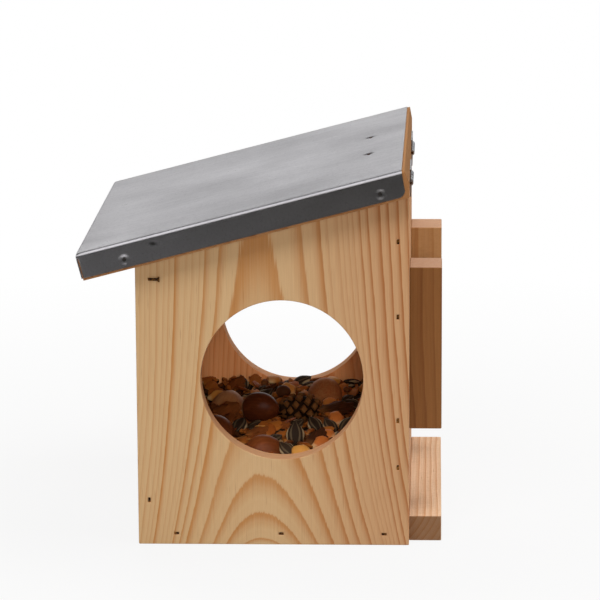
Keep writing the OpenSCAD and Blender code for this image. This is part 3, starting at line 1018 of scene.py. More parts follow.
def lathe(profile: Iterable[tuple[float, float]], steps: int) -> bmesh.types.BMesh:
    """Spins a profile about Z into a closed form.

    Args:
        profile: Radius and height of each point, from foot to top.
        steps: How many facets go round.

    Returns:
        The turned form.
    """
    shape = bmesh.new()
    verts = [shape.verts.new((radius, 0.0, height)) for radius, height in profile]
    edges = [shape.edges.new(pair) for pair in zip(verts, verts[1:])]
    bmesh.ops.spin(
        shape,
        geom=verts + edges,
        cent=(0, 0, 0),
        axis=(0, 0, 1),
        angle=math.tau,
        steps=steps,
        use_merge=True,
    )
    bmesh.ops.remove_doubles(shape, verts=shape.verts, dist=0.1 * CLOSE)
    bmesh.ops.recalc_face_normals(shape, faces=shape.faces)
    return shape


def gathered(shapes: Iterable[bmesh.types.BMesh]) -> bmesh.types.BMesh:
    """Joins forms into one.

    Args:
        shapes: The forms, which are used up.

    Returns:
        All of them in one bmesh.
    """
    joined = bmesh.new()
    for shape in shapes:
        spare = meshed("spare", shape)
        joined.from_mesh(spare)
        bpy.data.meshes.remove(spare)
    return joined


@dataclass
class House:
    """The box: five boards, two uprights and a rail behind it, and the brads that hold them."""

    ease: float = 0.45 * MM
    batten_ease: float = 0.5 * MM
    crease: float = 9.0
    brads: tuple[str, ...] = ("right_side_brads", "left_side_brads", "batten_brads")
    rings_before: Pairs = (
        (65, 0.8), (300, 0.9), (580, 0.85), (965, 0.75), (1405, 0.95), (1650, 0.85), (1945, 0.9),
        (2060, 0.35), (2280, 0.3), (2480, 0.3), (2860, 1.0), (3080, 0.45), (3290, 0.35), (3610, 0.5),
        (3950, 0.35), (4200, 0.3), (4450, 0.35), (4800, 0.3),
    )
    rings_after: Pairs = (
        (65, 0.8), (300, 0.9), (580, 0.85), (965, 0.95), (1405, 0.9), (1745, 0.85), (2125, 0.95),
        (2300, 0.35), (2600, 0.35), (2730, 0.35), (2920, 0.4), (3090, 0.4), (3340, 0.9), (3640, 0.95),
        (4100, 1.0), (4460, 1.0), (4940, 1.0), (5400, 0.9),
    )

    def panels(self) -> dict[str, PineFinish]:
        """Gives each board of the box its own cut of wood.

        Returns:
            The finish of each node.
        """
        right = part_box("right_side_panel")[1].x / MM
        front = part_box("front_panel")[0].y / MM
        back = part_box("back_panel")[1].y / MM
        upright = {"along": Axis.Z}
        side = {**upright, "across": Axis.Y, "depth": 30.0, "reach": 80.0, "end": 0.0}
        # Pinker wood for the left and back panels, with painted bounce light on their inner faces.
        pink_with_painted_bounce = {"pale": tint(210, 164, 122), "late": tint(197, 136, 90), "inside": 11.0, "ring": 4.2}
        return {
            # inside and edge paint bounce light on this panel's inner face and on the wall of its hole.
            "right_side_panel": MappedPine(
                "right_side_pine", heart=-6.3, face=right, sway=-0.0164, thin=0.05, edge=0.6, inside=11.0,
                before=self.rings_before, after=self.rings_after, **side,
            ),
            # edge paints bounce light on the wall of its hole.
            "left_side_panel": PineFinish(
                "left_side_pine", heart=14.0, face=-right, turn=-1.0, lean=16.0, seed=0.7, edge=0.7,
                **side, **pink_with_painted_bounce,
            ),
            "front_panel": PineFinish(
                "front_pine", across=Axis.X, heart=22.0, face=front, turn=-1.0, depth=26.0, lean=24.0,
                reach=70.0, ring=4.6, seed=0.15, **upright,
            ),
            "back_panel": PineFinish(
                "back_pine", across=Axis.X, heart=-30.0, face=back, depth=30.0, lean=20.0, reach=90.0,
                seed=0.5, **upright, **pink_with_painted_bounce,
            ),
            "floor_board": PineFinish(
                "floor_pine", across=Axis.Y, along=Axis.X, heart=10.0, face=0.0, turn=-1.0, depth=34.0,
                lean=0.0, reach=90.0, ring=4.6, seed=0.9,
            ),
        }

    def battens(self) -> dict[str, PineFinish]:
        """Gives the uprights and the rail their rough-sawn wood.

        Returns:
            The finish of each node.
        """
        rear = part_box("lower_rail")[1].y / MM
        sawn = {"face": rear, "sawn": 0.5, "ring": 3.4, "end": 0.8, "reach": 120.0}
        upright = {**sawn, "across": Axis.X, "along": Axis.Z, "cut": tint(182, 146, 121)}
        return {
            "right_upright_batten": PineFinish(
                "right_batten_pine", heart=30.0, depth=38.0, lean=4.0,
                pale=tint(134, 91, 51), late=tint(111, 67, 30), **upright,
            ),
            "left_upright_batten": PineFinish(
                "left_batten_pine", heart=-90.0, depth=26.0, lean=3.0,
                pale=tint(178, 136, 92), late=tint(152, 100, 55), **upright,
            ),
            "lower_rail": PineFinish(
                "rail_pine", across=Axis.Z, along=Axis.X, heart=20.0, depth=30.0, lean=0.0,
                pale=tint(216, 186, 156), late=tint(190, 140, 99), cut=tint(104, 64, 26), **sawn,
            ),
        }

    def build(self) -> None:
        """Builds the boards and battens and coats the brads."""
        spared = [box for node in self.brads for box in islands(node)]
        groups = ((self.panels(), self.ease, "panel_pine"), (self.battens(), self.batten_ease, "batten_pine"))
        for finishes, ease, slot in groups:
            for node, finish in finishes.items():
                shape = eased_copy(node, ease, spared)
                publish(f"eased_{node}", shape, finish.build(), Body.HOUSE, slot, [node], self.crease)
        resin = SteelFinish(
            "brad_resin", tint(146, 96, 38), tint(46, 28, 14), rusted=0.6, polish=0.3, metallic=0.6
        ).build()
        for node in self.brads:
            coat(node, resin)


@dataclass(frozen=True)
class Mark:
    """A nail or tack in the sheet: the top of its head, the way that it faces, and its whole length."""

    head: Vector
    outward: Vector
    length: float


@dataclass
class Roof:
    """The roof board under its folded sheet, with the sheet's nails and tacks.

    The roof's own frame has its origin on the hinge, y up the slope and z square to it. The fields low and
    high are the sheet's corners there.
    """

    board_ease: float = 0.3 * MM
    board_edge: float = 50 * MM
    board_crease: float = 9.0
    leaf_room: float = 0.4 * MM
    rear_end: float = 1.0 * MM
    gauge: float = 0.6 * MM
    sheet_crease: float = 50.0
    bend: float = 1.42 * MM
    bend_steps: int = 6
    slit: float = 1.0 * MM
    rim: float = 0.5 * MM
    burr: float = 0.28 * MM
    burr_reach: float = 0.2 * MM
    short: float = 2.3 * MM
    skew: float = 0.5
    fade: int = 10
    nip: float = 0.9 * MM
    columns: int = 64
    rows: int = 52
    flange_rows: int = 5
    dish: float = 0.40 * MM
    dish_floor: float = 1.15 * MM
    dish_rim: float = 3.0 * MM
    dish_reach: float = 2.5 * MM
    hollow: float = 0.11 * MM
    hollow_reach: float = 4.5 * MM
    streak: float = 0.8
    fine: float = 7.0 * MM
    fine_cuts: int = 4
    sag: float = 0.38 * MM
    sag_reach: float = 6.0 * MM
    wave: float = 0.08 * MM
    wave_reach: float = 12 * MM
    wave_scale: tuple[float, float] = (22.0, 14.0)
    wave_seed: float = 3.7
    head_radius: float = 0.95 * MM
    head_rise: float = 0.3 * MM
    shank_radius: float = 0.6 * MM
    # Where the painted shade of a small dent lies on the right flange.
    dent_spot: tuple[float, float] = (-126 * MM, 9.5 * MM)
    pitch: float = field(init=False)
    seat: Matrix = field(init=False)
    low: Vector = field(init=False)
    high: Vector = field(init=False)
    marks: dict[str, list[Mark]] = field(init=False)

    def __post_init__(self) -> None:
        """Reads the roof's slope from the board's largest face, and the sheet and nails from the frame."""
        board = frame["nodes"]["roof_board"].data
        top = max((p for p in board.polygons if p.normal.z > 0.5), key=lambda p: p.area)
        self.pitch = math.atan2(-top.normal.y, top.normal.z)
        self.seat = Matrix.Translation(frame["joints"][0]["pos_m"]) @ Matrix.Rotation(self.pitch, 4, "X")
        self.low, self.high = islands("roof_sheet", self.seat.inverted())[0]
        self.marks = {node: self.found(node) for node in ("sheet_nails", "sheet_tacks")}

    def found(self, node: str) -> list[Mark]:
        """Finds where a node's nails pull the sheet in.

        Args:
            node: The node.

        Returns:
            The nails in the roof's own frame.
        """
        marks = []
        for low, high in islands(node, self.seat.inverted()):
            middle, reach = (low + high) / 2, high - low
            axis = max(range(3), key=lambda place: reach[place])
            outward = Vector((0, 0, 0))
            outward[axis] = (math.copysign(1.0, middle.x), -1.0, 1.0)[axis]
            marks.append(Mark(middle + outward * (reach[axis] / 2), outward, reach[axis]))
        return marks

    def trim(self, x: float) -> float:
        """Gives how far the sheet's rear edge stops short of the board's, at a place across the roof."""
        return self.short * (1.0 - self.skew * (self.high.x - x) / (self.high.x - self.low.x))

    def trimmed_board(self) -> bmesh.types.BMesh:
        """Copies the roof board with its rear end cut back above the hinge leaves, about square to its slope.

        Returns:
            The board, plumb behind the leaves and flush with the sheet at its top.
        """
        shape = eased_copy("roof_board", self.board_ease, shortest=self.board_edge)
        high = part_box("roof_board")[1]
        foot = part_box("right_hinge_roof_leaf")[1].z + self.leaf_room
        whole = [*shape.verts, *shape.edges, *shape.faces]
        bmesh.ops.bisect_plane(shape, geom=whole, plane_co=(0, 0, foot), plane_no=(0, 0, 1))
        for vert in shape.verts:
            if vert.co.y > high.y - self.rear_end and vert.co.z > foot:
                back = self.trim(vert.co.x) * (vert.co.z - foot) / (high.z - foot)
                vert.co -= back * Vector((0, 1, math.tan(self.pitch)))
        return shape

    def flanges(self, shape: bmesh.types.BMesh) -> list[bmesh.types.BMEdge]:
        """Folds both sides of the sheet and its front down, open at the corners.

        Args:
            shape: The flat sheet in the roof's own frame.

        Returns:
            The edges that it is folded along.
        """
        low, high = self.low, self.high
        tests = (
            lambda vert: vert.co.x > high.x - CLOSE,
            lambda vert: vert.co.x < low.x + CLOSE,
            lambda vert: vert.co.y < low.y + CLOSE,
        )
        folds = [[e for e in shape.edges if e.is_boundary and all(map(test, e.verts))] for test in tests]
        front = folds[-1]
        step = (high.z - low.z - self.rim) / self.flange_rows
        for fold in folds:
            edges = fold
            for row in range(self.flange_rows):
                grown = bmesh.ops.extrude_edge_only(shape, edges=edges)["geom"]
                verts = {g for g in grown if isinstance(g, bmesh.types.BMVert)}
                edges = [g for g in grown if isinstance(g, bmesh.types.BMEdge) and verts.issuperset(g.verts)]
                bmesh.ops.translate(shape, verts=list(verts), vec=(0, 0, -step))
                if row == 0 and fold is not front:
                    ends = [v for v in verts if v.co.y < low.y + CLOSE]
                    bmesh.ops.translate(shape, verts=ends, vec=(0, self.slit, 0))
        return [edge for fold in folds for edge in fold if edge.is_valid]

    def trim_rear(self, shape: bmesh.types.BMesh) -> None:
        """Makes the sheet's rear edge plumb and a little short, and nips the flanges' rear lower corners.

        Args:
            shape: The folded sheet in the roof's own frame.
        """
        low, high = self.low, self.high
        drop, slope = high.z - low.z, math.tan(self.pitch)
        for vert in shape.verts:
            along = (vert.co.y - low.y) / (high.y - low.y)
            below = high.z - vert.co.z
            back = below * slope + self.trim(vert.co.x) * (1.0 - below / drop)
            vert.co.y -= back * max(0.0, along) ** self.fade
            if along > 0.999 and below > drop - self.rim - CLOSE:
                vert.co += Vector((0, -self.nip, self.nip))

    def folded_sheet(self) -> bmesh.types.BMesh:
        """Folds the sheet from a flat grid.

        Returns:
            The outer skin in the roof's own frame, with its bends rounded, and finer round the nails.
        """
        shape = grid(self.low, self.high, self.high.z, self.columns, self.rows)
        folds = self.flanges(shape)
        bmesh.ops.recalc_face_normals(shape, faces=shape.faces)
        self.trim_rear(shape)
        bevelled(shape, folds, self.bend, self.bend_steps)
        heads = [mark.head for marks in self.marks.values() for mark in marks]
        near = []
        for edge in shape.edges:
            middle = (edge.verts[0].co + edge.verts[1].co) / 2
            if any((middle - head).length < self.fine for head in heads):
                near.append(edge)
        bmesh.ops.subdivide_edges(shape, edges=near, cuts=self.fine_cuts, use_grid_fill=True)
        return shape

    def dull_corners(self, shape: bmesh.types.BMesh) -> None:
        """Takes the edge off the side flanges' front ends, which catch the light.

        Args:
            shape: The sheet with its thickness, in the roof's own frame.
        """
        low, high = self.low, self.high
        ends = []
        for edge in shape.edges:
            outer = all(max(v.co.x - high.x, low.x - v.co.x) > -self.burr_reach for v in edge.verts)
            front = all(abs(v.co.y - low.y - self.slit) < self.burr_reach for v in edge.verts)
            if outer and front and edge.is_manifold and edge.calc_face_angle() > 1.0:
                ends.append(edge)
        bevelled(shape, ends, self.burr, 2)

    def dent(self, aside: float) -> float:
        """Gives how deep the sheet is pressed in at a distance from a nail."""
        slope = min(1.0, max(0.0, (self.dish_rim - aside) / (self.dish_rim - self.dish_floor)))
        return self.dish * slope + self.hollow * math.exp(-((aside / self.hollow_reach) ** 2))

    def press(self, shape: bmesh.types.BMesh) -> None:
        """Presses dishes round the nails and tacks, and lets the top wave a little and sag to its folds.

        Args:
            shape: The folded sheet in the roof's own frame.
        """
        low, high = self.low, self.high
        marks = [mark for found in self.marks.values() for mark in found]
        for vert in shape.verts:
            push = Vector((0, 0, 0))
            for mark in marks:
                gap = vert.co - mark.head
                above = gap.dot(mark.outward)
                if abs(above) < self.dish_reach:
                    aside = gap - mark.outward * above
                    if mark.outward.z > 0.5:
                        aside.y *= self.streak
                    push -= mark.outward * self.dent(aside.length)
            rim = max(0.0, min(vert.co.x - low.x, high.x - vert.co.x))
            drop = (vert.co.z - low.z) / (high.z - low.z)
            push.z -= self.sag * drop * max(0.0, 1.0 - rim / self.sag_reach) ** 2
            if vert.co.z > high.z - 0.25 * self.bend:
                across, along = self.wave_scale
                ripple = noise.noise(Vector((vert.co.x * across, vert.co.y * along, self.wave_seed)))
                inner = max(0.0, min(rim, vert.co.y - low.y))
                push.z -= self.wave * (0.5 + 0.5 * ripple) * min(1.0, inner / self.wave_reach)
            vert.co += push

    def nail(self, mark: Mark) -> bmesh.types.BMesh:
        """Makes a nail with a small flat head in the roof's own frame.

        Args:
            mark: Where it is and how long.

        Returns:
            The nail.
        """
        radius, rise, shank = self.head_radius, self.head_rise, self.shank_radius
        profile = [
            (0.0, -mark.length),
            (0.5 * shank, -mark.length + shank),
            (shank, -mark.length + 3 * shank),
            (shank, -rise),
            (0.9 * radius, -rise),
            (radius, -0.7 * rise),
            (radius, -0.3 * rise),
            (0.86 * radius, 0.0),
            (0.4 * radius, -0.12 * rise),
            (0.0, -0.16 * rise),
        ]
        shape = lathe(profile, 20)
        turn = Vector((0, 0, 1)).rotation_difference(mark.outward).to_matrix().to_4x4()
        shape.transform(Matrix.Translation(mark.head) @ turn)
        return shape

    def board(self) -> None:
        """Builds the roof board."""
        # The board's wood is written darker than the box's boards, as painted shade: its rear end lies in
        # shade under the sheet.
        pine = PineFinish(
            "roof_board_pine", across=Axis.Y, along=Axis.X, heart=-30.0, face=180.0, depth=60.0, lean=0.0,
            reach=120.0, ring=3.6, pale=tint(154, 111, 70), late=tint(127, 81, 42), sawn=0.5, tilt=self.pitch,
            seed=0.4,
        )
        shape = self.trimmed_board()
        nodes = ["roof_board"]
        publish("eased_roof_board", shape, pine.build(), Body.ROOF, "roof_pine", nodes, self.board_crease)

    def sheet(self) -> None:
        """Builds the sheet."""
        shape = self.folded_sheet()
        self.press(shape)
        bmesh.ops.solidify(shape, geom=list(shape.faces), thickness=self.gauge)
        self.dull_corners(shape)
        shape.transform(self.seat)
        # Places the painted shade of the flange's small dent.
        dent_spot = self.seat @ Vector((self.high.x, *self.dent_spot))
        metal = SheetFinish("galvanised", self.pitch, tuple(dent_spot)).build()
        nodes = ["roof_sheet"]
        publish("folded_sheet", shape, metal, Body.ROOF, "galvanised_sheet", nodes, self.sheet_crease)

    def nails(self, node: str, steel: SteelFinish) -> None:
        """Builds the sheet's nails or its tacks.

        Args:
            node: The node that they stand for.
            steel: Their finish.
        """
        joined = gathered(map(self.nail, self.marks[node]))
        joined.transform(self.seat)
        publish(f"sunk_{node}", joined, steel.build(), Body.ROOF, "nail_steel", [node])

    def build(self) -> None:
        """Builds the roof board, the sheet, its nails and its tacks."""
        self.board()
        self.sheet()
        nail = SteelFinish("dull_nail", tint(104, 100, 96), tint(60, 46, 36), rusted=0.5, polish=0.4)
        tack = SteelFinish("rusty_tack", tint(128, 104, 84), tint(92, 66, 48), rusted=0.8, polish=0.5)
        self.nails("sheet_nails", nail)
        self.nails("sheet_tacks", tack)


@dataclass
class Hinges:
    """Two small butt hinges on the back, with their pins and screws."""

    shank: float = 0.53
    cone: float = 0.7 * MM
    rim: float = 0.03 * MM
    recess: float = 1.05 * MM
    recess_depth: float = 0.55 * MM
    cross_core: float = 0.36
    cross_turn: float = 0.6

    def screw(self, box: Box, turn: float) -> bmesh.types.BMesh:
        """Makes a countersunk screw with a cross recess in its head.

        Args:
            box: The corners of the screw that it stands for, whose head is at the rear.
            turn: How far the cross is turned.

        Returns:
            The screw.
        """
        low, high = box
        radius, length = (high.x - low.x) / 2, high.y - low.y
        shank = self.shank * radius
        profile = [
            (0.0, -length),
            (0.5 * shank, 0.4 * shank - length),
            (shank, 2 * shank - length),
            (shank, -self.cone),
            (radius, -self.rim),
            (0.97 * radius, 0.0),
            (self.recess, 0.0),
            (0.5 * self.recess, -0.85 * self.recess_depth),
            (0.0, -self.recess_depth),
        ]
        shape = lathe(profile, 32)
        for vert in shape.verts:
            if vert.co.xy.length < 1.01 * self.recess and vert.co.z > -1.01 * self.recess_depth:
                lobe = abs(math.cos(2 * math.atan2(vert.co.y, vert.co.x))) ** 4
                vert.co.xy = vert.co.xy * (self.cross_core + (1.0 - self.cross_core) * lobe)
        head = Matrix.Translation(((low.x + high.x) / 2, high.y, (low.z + high.z) / 2))
        shape.transform(head @ Matrix.Rotation(-math.pi / 2, 4, "X") @ Matrix.Rotation(turn, 4, "Z"))
        return shape

    def build(self) -> None:
        """Coats the leaves and pins, and builds the screws."""
        plate = SteelFinish(
            "hinge_zinc", tint(202, 205, 210), tint(104, 84, 66), rusted=0.36, polish=0.3, patches=0.24,
            speckle=0.1,
        ).build()
        zinc = SteelFinish(
            "screw_zinc", tint(196, 186, 160), tint(84, 64, 46), rusted=0.3, polish=0.3, patches=0.4,
            speckle=0.12,
        ).build()
        pin = SteelFinish("rusted_pin", tint(120, 92, 70), tint(84, 48, 28), rusted=0.7, polish=0.45).build()
        for side in ("right", "left"):
            coat(f"{side}_hinge_fixed_leaf", plate)
            coat(f"{side}_hinge_roof_leaf", plate)
            coat(f"{side}_hinge_pin", pin)
        for node, body in (("fixed_leaf_screws", Body.HOUSE), ("roof_leaf_screws", Body.ROOF)):
            boxes = enumerate(islands(node))
            joined = gathered(self.screw(box, self.cross_turn * number) for number, box in boxes)
            publish(f"crossed_{node}", joined, zinc, body, "hinge_steel", [node])


def marked(shape: bmesh.types.BMesh, own: Callable[[Vector], Sequence[float]]) -> None:
    """Gives a form's points their own places, which its finish reads, and room for a tone.

    Args:
        shape: The form.
        own: Gives a point's own place.
    """
    layer = shape.verts.layers.float_vector.new("own_place")
    shape.verts.layers.float.new("tone")
    for vert in shape.verts:
        vert[layer] = own(vert.co)


def sow(heap: bmesh.types.BMesh, seed: bpy.types.Mesh, place: Matrix, tone: float) -> None:
    """Adds a copy of a small mesh to a joined one.

    Args:
        heap: The joined mesh.
        seed: The mesh to copy.
        place: Where the copy goes.
        tone: Its own share between its finish's two colours.
    """
    before = len(heap.verts)
    heap.from_mesh(seed)
    heap.verts.ensure_lookup_table()
    fresh = heap.verts[before:]
    bmesh.ops.transform(heap, matrix=place, verts=fresh)
    layer = heap.verts.layers.float["tone"]
    for vert in fresh:
        vert[layer] = tone


def leaning(turn: float, tilt: float) -> Matrix:
    """Turns an upright form by its heading and its tilt from upright, in degrees."""
    return Matrix.Rotation(math.radians(turn), 4, "Z") @ Matrix.Rotation(math.radians(tilt), 4, "X")


def tipped(turn: float, tip: float, size: float) -> Matrix:
    """Turns a flat seed by its heading, then tips it up towards -X, in degrees, at a size of its own."""
    heading = Matrix.Rotation(math.radians(turn), 4, "Z")
    return Matrix.Rotation(math.radians(tip), 4, "Y") @ heading @ Matrix.Scale(size, 4)


@dataclass(frozen=True)
class SeedKind:
    """One kind of loose seed: half its width, length and thickness, its share of the feed and its form."""

    name: str
    half: tuple[float, float, float]
    share: float
    finish: SeedFinish
    slot: str = "mixed_feed"
    point: float = 0.0
    wedge: float = 0.0
    crumple: float = 0.0
    stand: float = 20.0
    square: float = 0.0

    def mould(self, spot: Vector) -> Vector:
        """Moves a point of a unit ball to where it lies on the seed.

        Args:
            spot: The point on the ball, with the seed's length along y.

        Returns:
            The point on the seed, in metres.
        """
        along = spot.y
        narrow = 1.0 - self.point * max(0.0, along) ** 1.5 - self.wedge * max(0.0, -along) ** 1.2
        dent = self.wedge * 0.35 * max(0.0, along) ** 2
        bend = self.crumple * noise.noise(spot * 2.3 + Vector((self.half[0] * 900, 0.3, 1.1)))
        side = math.copysign(abs(spot.x) ** (1.0 - self.square), spot.x) * narrow * (1.0 + bend)
        height = spot.z * (1.0 - dent) * (0.55 + 0.45 * narrow) + 0.5 * bend
        return Vector((side * self.half[0], along * self.half[1] * (1.0 + 0.5 * bend), height * self.half[2]))

    def mesh(self, around: int, rings: int) -> bpy.types.Mesh:
        """Makes one seed of this kind, which keeps its points' places on the ball.

        Args:
            around: Facets round its length.
            rings: Facets along its length.

        Returns:
            The seed's mesh at the origin.
        """
        shape = bmesh.new()
        bmesh.ops.create_uvsphere(shape, u_segments=around, v_segments=rings, radius=1.0)
        bmesh.ops.rotate(shape, verts=shape.verts, matrix=Matrix.Rotation(math.radians(90), 3, "X"))
        marked(shape, lambda spot: spot)
        for vert in shape.verts:
            vert.co = self.mould(vert.co)
        bmesh.ops.recalc_face_normals(shape, faces=shape.faces)
        return meshed(f"one_{self.name}", shape)


class Level:
    """A map of how high the feed stands, on which seeds come to rest one after another."""

    def __init__(self, low: Vector, high: Vector, surface: Callable, below: float, above: float) -> None:
        """Starts the feed a little below its surface.

        Args:
            low: The bin's lowest corner.
            high: The bin's highest corner.
            surface: Gives the feed's height at arrays of x and y.
            below: How far under that surface the seeds start.
            above: How far over it they may reach.
        """
        cell = 0.7 * MM
        xs = np.arange(low.x, high.x, cell)
        ys = np.arange(low.y, high.y, cell)
        self.x, self.y = np.meshgrid(xs, ys, indexing="ij")
        self.surface = surface(self.x, self.y)
        self.height = self.surface - below
        self.ceiling = self.surface + above

    def keep_clear(self, x: float, y: float, reach: float, floor: float) -> None:
        """Keeps loose seeds out of a ball or a laid seed.

        Args:
            x: The middle's x.
            y: The middle's y.
            reach: The radius to keep clear.
            floor: The height over the surface above which nothing loose may reach.
        """
        inside = (self.x - x) ** 2 + (self.y - y) ** 2 < reach**2
        self.ceiling[inside] = np.minimum(self.ceiling[inside], self.surface[inside] + floor)

    def settle(self, x: float, y: float, half: tuple[float, float, float], turn: float, tilt: float) -> float:
        """Lets a seed down on the feed and raises the map by it.

        Args:
            x: The seed's middle.
            y: The seed's middle.
            half: Half its width, length and thickness.
            turn: Its heading.
            tilt: How far it stands up.

        Returns:
            The height of its middle, or minus one where it finds no room.
        """
        wide, long, thick = half
        flat = max(thick, long * math.cos(tilt))
        rise = math.hypot(thick * math.cos(tilt), long * math.sin(tilt)) * 0.8
        across = (self.x - x) * math.cos(turn) + (self.y - y) * math.sin(turn)
        along = (self.y - y) * math.cos(turn) - (self.x - x) * math.sin(turn)
        reach = (across / wide) ** 2 + (along / flat) ** 2
        under = reach < 1.0
        if under.sum() < 4:
            return -1.0
        lift = np.sqrt(1.0 - reach[under]) * rise
        middle = float(np.quantile(self.height[under] + lift, 0.85))
        top = middle + lift
        if (top > self.ceiling[under]).any():
            return -1.0
        self.height[under] = np.maximum(self.height[under], top)
        return middle


@dataclass(frozen=True)
class Nut:
    """One hazelnut: its place and height over the feed in millimetres, its heading, tilt, tone and girth."""

    x: float
    y: float
    rise: float
    turn: float
    tilt: float
    tone: float
    girth: float = 1.0


@dataclass(frozen=True)
class Strewn:
    """One loose piece: its kind, its place and height over the feed in millimetres, and how it lies."""

    kind: str
    x: float
    y: float
    rise: float
    turn: float
    tip: float
    size: float
    tone: float


